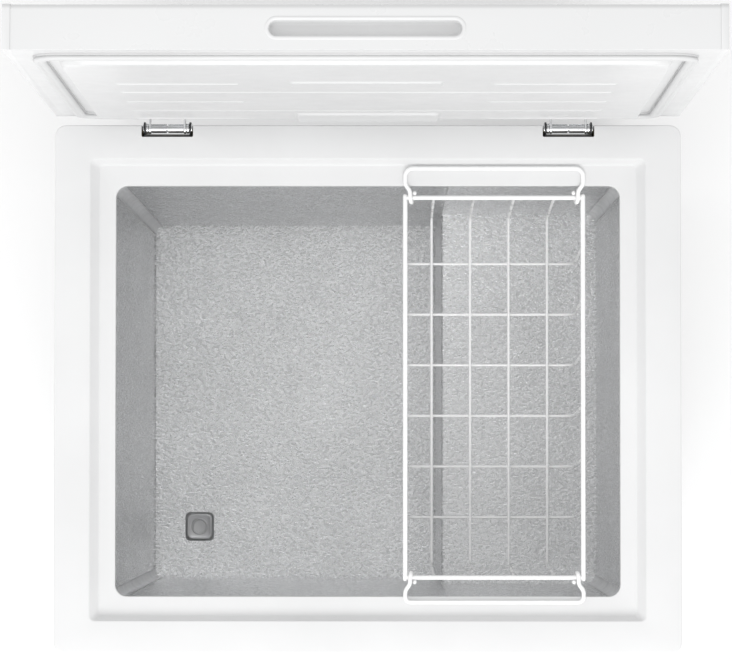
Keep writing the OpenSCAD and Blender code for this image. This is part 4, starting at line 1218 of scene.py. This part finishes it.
class FreezerColours(bpy.types.PropertyGroup):
    """Colours of the finishes that show most."""

    paint: FloatVectorProperty(name="Paint", description="Colour of the painted steel", subtype="COLOR",
                               size=3, min=0, max=1, default=(0.735, 0.738, 0.74))
    plastic: FloatVectorProperty(name="Plastic", description="Colour of the white mouldings",
                                 subtype="COLOR", size=3, min=0, max=1, default=(0.74, 0.742, 0.744))
    wire: FloatVectorProperty(name="Wire", description="Colour of the basket's coating", subtype="COLOR",
                              size=3, min=0, max=1, default=(0.94, 0.94, 0.94))
    aluminium: FloatVectorProperty(name="Aluminium", description="Colour of the tub's embossed sheet",
                                   subtype="COLOR", size=3, min=0, max=1, default=(0.73, 0.734, 0.74))
    floor: FloatVectorProperty(name="Floor", description="Colour of the floor it stands on",
                               subtype="COLOR", size=3, min=0, max=1, default=(0.97, 0.97, 0.97))


class FreezerDetail(bpy.types.PropertyGroup):
    """Sizes of the details that go round the frame."""

    edge: FloatProperty(name="Rim edge", description="How far the rim's turns are rounded",
                        subtype="DISTANCE", unit="LENGTH", default=0.0014, min=0.0005, max=0.0025)
    strip: FloatProperty(name="Corner strips", subtype="DISTANCE", unit="LENGTH",
                         description="Thickness of the strips up the tub's corners",
                         default=0.0008, min=0.0005, max=0.003)
    seam: FloatProperty(name="Seam width", description="Width of the rolled seams in the tub",
                        subtype="DISTANCE", unit="LENGTH", default=0.0020, min=0.0005, max=0.004)
    rib: FloatProperty(name="Lid ribs", description="Height of the ribs in the lid's inner panel",
                       subtype="DISTANCE", unit="LENGTH", default=0.0012, min=0.0, max=0.002)
    wire_sides: IntProperty(name="Wire sides", description="Flats round each basket wire", default=14,
                            min=8, max=24)


# ---- the stage ----

SKY = 0.80
LIGHTS = [  # name, place, size and watts
    ("overhead", (-0.6, -0.4, 5.2), (2.6, 2.6), 22.0),
    ("front_fill", (0.3, -2.8, 3.5), (2.6, 1.8), 74.0),
    ("side_fill", (-3.6, 0.6, 2.4), (2.4, 2.4), 16.0),
]
AIM = (0, 0, 0.6)
FLOOR_HALF = 6.0
LENS = 179.92
EYE = (0.01515, -0.07028, RIM_TOP + 3.67407)
EYE_TURN = (0.0353, 0.0046, 0.0003)


def build_stage():
    """A pale floor, a pale sky, broad lights over and beside the freezer, and the camera above it."""
    scene = bpy.context.scene
    scene.view_settings.view_transform = "Standard"
    world = bpy.data.worlds.new("pale_room")
    world.use_nodes = True
    backdrop = world.node_tree.nodes["Background"]
    backdrop.inputs["Color"].default_value = (1.0, 1.0, 1.0, 1.0)
    backdrop.inputs["Strength"].default_value = SKY
    scene.world = world

    half = FLOOR_HALF
    mesh = bpy.data.meshes.new("floor")
    mesh.from_pydata([(-half, -half, 0), (half, -half, 0), (half, half, 0), (-half, half, 0)], [],
                     [(0, 1, 2, 3)])
    floor = bpy.data.objects.new("floor", mesh)
    scene.collection.objects.link(floor)
    finish = Finish("pale_floor", colour("floor"), 0.7)
    finish.put("Roughness", finish.ranged(finish.noise(6.0, 3.0), 0.62, 0.78))
    mesh.materials.append(finish.material)

    for name, place, size, power in LIGHTS:
        lamp = bpy.data.lights.new(name, "AREA")
        lamp.shape, lamp.size, lamp.size_y = "RECTANGLE", *size
        lamp.energy = power
        thing = bpy.data.objects.new(name, lamp)
        thing.location = place
        thing.visible_glossy = name != "overhead"
        thing.rotation_euler = (Vector(AIM) - Vector(place)).to_track_quat("-Z", "Y").to_euler()
        scene.collection.objects.link(thing)

    eye = bpy.data.cameras.new("camera")
    eye.sensor_width = 36.0
    eye.lens = LENS
    eye.clip_end = 60.0
    camera = bpy.data.objects.new("camera", eye)
    turn = Euler((EYE_TURN[0], 0, 0)).to_matrix() @ Euler((0, EYE_TURN[1], 0)).to_matrix()
    camera.rotation_euler = (turn @ Euler((0, 0, EYE_TURN[2])).to_matrix()).to_euler()
    camera.location = EYE
    scene.collection.objects.link(camera)
    scene.camera = camera


# ---- operators, panel and registration ----


class Builder:
    """What the piece operators share: each runs its own build with the Freezer detail settings."""

    bl_options = {"REGISTER", "UNDO"}

    def execute(self, context):
        self.build(context.scene.freezer_detail)
        return {"FINISHED"}


class FREEZER_OT_rim(Builder, bpy.types.Operator):
    """Moulded rim with its ledge, lip and hinge notches"""

    bl_idname = "freezer.rim"
    bl_label = "Rim"
    build = staticmethod(build_rim)


class FREEZER_OT_tub(Builder, bpy.types.Operator):
    """Embossed aluminium tub with its step, seams and corner strips"""

    bl_idname = "freezer.tub"
    bl_label = "Tub"
    build = staticmethod(build_tub)


class FREEZER_OT_lid_shell(Builder, bpy.types.Operator):
    """Lid skin, end caps and bulb seal"""

    bl_idname = "freezer.lid_shell"
    bl_label = "Lid shell"
    build = staticmethod(build_lid_shell)


class FREEZER_OT_lid_panel(Builder, bpy.types.Operator):
    """Ribbed inner panel of the lid"""

    bl_idname = "freezer.lid_panel"
    bl_label = "Lid panel"
    build = staticmethod(build_inner_panel)


class FREEZER_OT_grip(Builder, bpy.types.Operator):
    """Recessed grip in the lid's front"""

    bl_idname = "freezer.grip"
    bl_label = "Grip"
    build = staticmethod(build_grip)


class FREEZER_OT_basket(Builder, bpy.types.Operator):
    """Coated wire basket and its two end handles"""

    bl_idname = "freezer.basket"
    bl_label = "Basket"
    build = staticmethod(build_basket)


class FREEZER_OT_hinges(Builder, bpy.types.Operator):
    """Brackets, leaves, pins and barrels of both hinges"""

    bl_idname = "freezer.hinges"
    bl_label = "Hinges"
    build = staticmethod(build_hinges)


class FREEZER_OT_drain(Builder, bpy.types.Operator):
    """Drain plate and cap in the tub, and the plug outside"""

    bl_idname = "freezer.drain"
    bl_label = "Drain"
    build = staticmethod(build_drain)


class FREEZER_OT_controls(Builder, bpy.types.Operator):
    """Control panel, dial and lamps"""

    bl_idname = "freezer.controls"
    bl_label = "Controls"
    build = staticmethod(build_controls)


class FREEZER_OT_feet(Builder, bpy.types.Operator):
    """Four rubber feet"""

    bl_idname = "freezer.feet"
    bl_label = "Feet"
    build = staticmethod(build_feet)


class FREEZER_OT_machinery(Builder, bpy.types.Operator):
    """Grille, compressor, plates and screws"""

    bl_idname = "freezer.machinery"
    bl_label = "Machinery"
    build = staticmethod(build_machinery)


class FREEZER_OT_finishes(bpy.types.Operator):
    """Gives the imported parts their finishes"""

    bl_idname = "freezer.finishes"
    bl_label = "Finishes"

    def execute(self, context):
        dress_frame()
        return {"FINISHED"}


class FREEZER_OT_stage(bpy.types.Operator):
    """Sets up the floor, the lights and the camera"""

    bl_idname = "freezer.stage"
    bl_label = "Stage"

    def execute(self, context):
        build_stage()
        return {"FINISHED"}


class FREEZER_PT_panel(bpy.types.Panel):
    """Lists the freezer's settings and pieces"""

    bl_label = "Freezer"
    bl_idname = "FREEZER_PT_panel"
    bl_space_type = "VIEW_3D"
    bl_region_type = "UI"
    bl_category = "Freezer"

    def draw(self, context):
        for group in (context.scene.freezer_colours, context.scene.freezer_detail):
            box = self.layout.box()
            for name in type(group).__annotations__:
                box.prop(group, name)
        column = self.layout.column()
        for operator in OPERATORS:
            column.operator(operator.bl_idname)


OPERATORS = (
    FREEZER_OT_stage, FREEZER_OT_finishes, FREEZER_OT_rim, FREEZER_OT_tub, FREEZER_OT_lid_shell,
    FREEZER_OT_lid_panel, FREEZER_OT_grip, FREEZER_OT_basket, FREEZER_OT_hinges, FREEZER_OT_drain,
    FREEZER_OT_controls, FREEZER_OT_feet, FREEZER_OT_machinery,
)
CLASSES = (FreezerColours, FreezerDetail, *OPERATORS, FREEZER_PT_panel)


def register():
    """Adds the classes and the two groups of settings."""
    for cls in CLASSES:
        bpy.utils.register_class(cls)
    bpy.types.Scene.freezer_colours = PointerProperty(type=FreezerColours)
    bpy.types.Scene.freezer_detail = PointerProperty(type=FreezerDetail)


def unregister():
    """Takes them away again."""
    del bpy.types.Scene.freezer_detail
    del bpy.types.Scene.freezer_colours
    for cls in reversed(CLASSES):
        bpy.utils.unregister_class(cls)


def main():
    """Builds everything from the default settings."""
    register()
    bpy.ops.freezer.stage()
    bpy.ops.freezer.finishes()
    bpy.ops.freezer.rim()
    bpy.ops.freezer.tub()
    bpy.ops.freezer.lid_shell()
    bpy.ops.freezer.lid_panel()
    bpy.ops.freezer.grip()
    bpy.ops.freezer.basket()
    bpy.ops.freezer.hinges()
    bpy.ops.freezer.drain()
    bpy.ops.freezer.controls()
    bpy.ops.freezer.feet()
    bpy.ops.freezer.machinery()


if __name__ == "__main__":
    main()
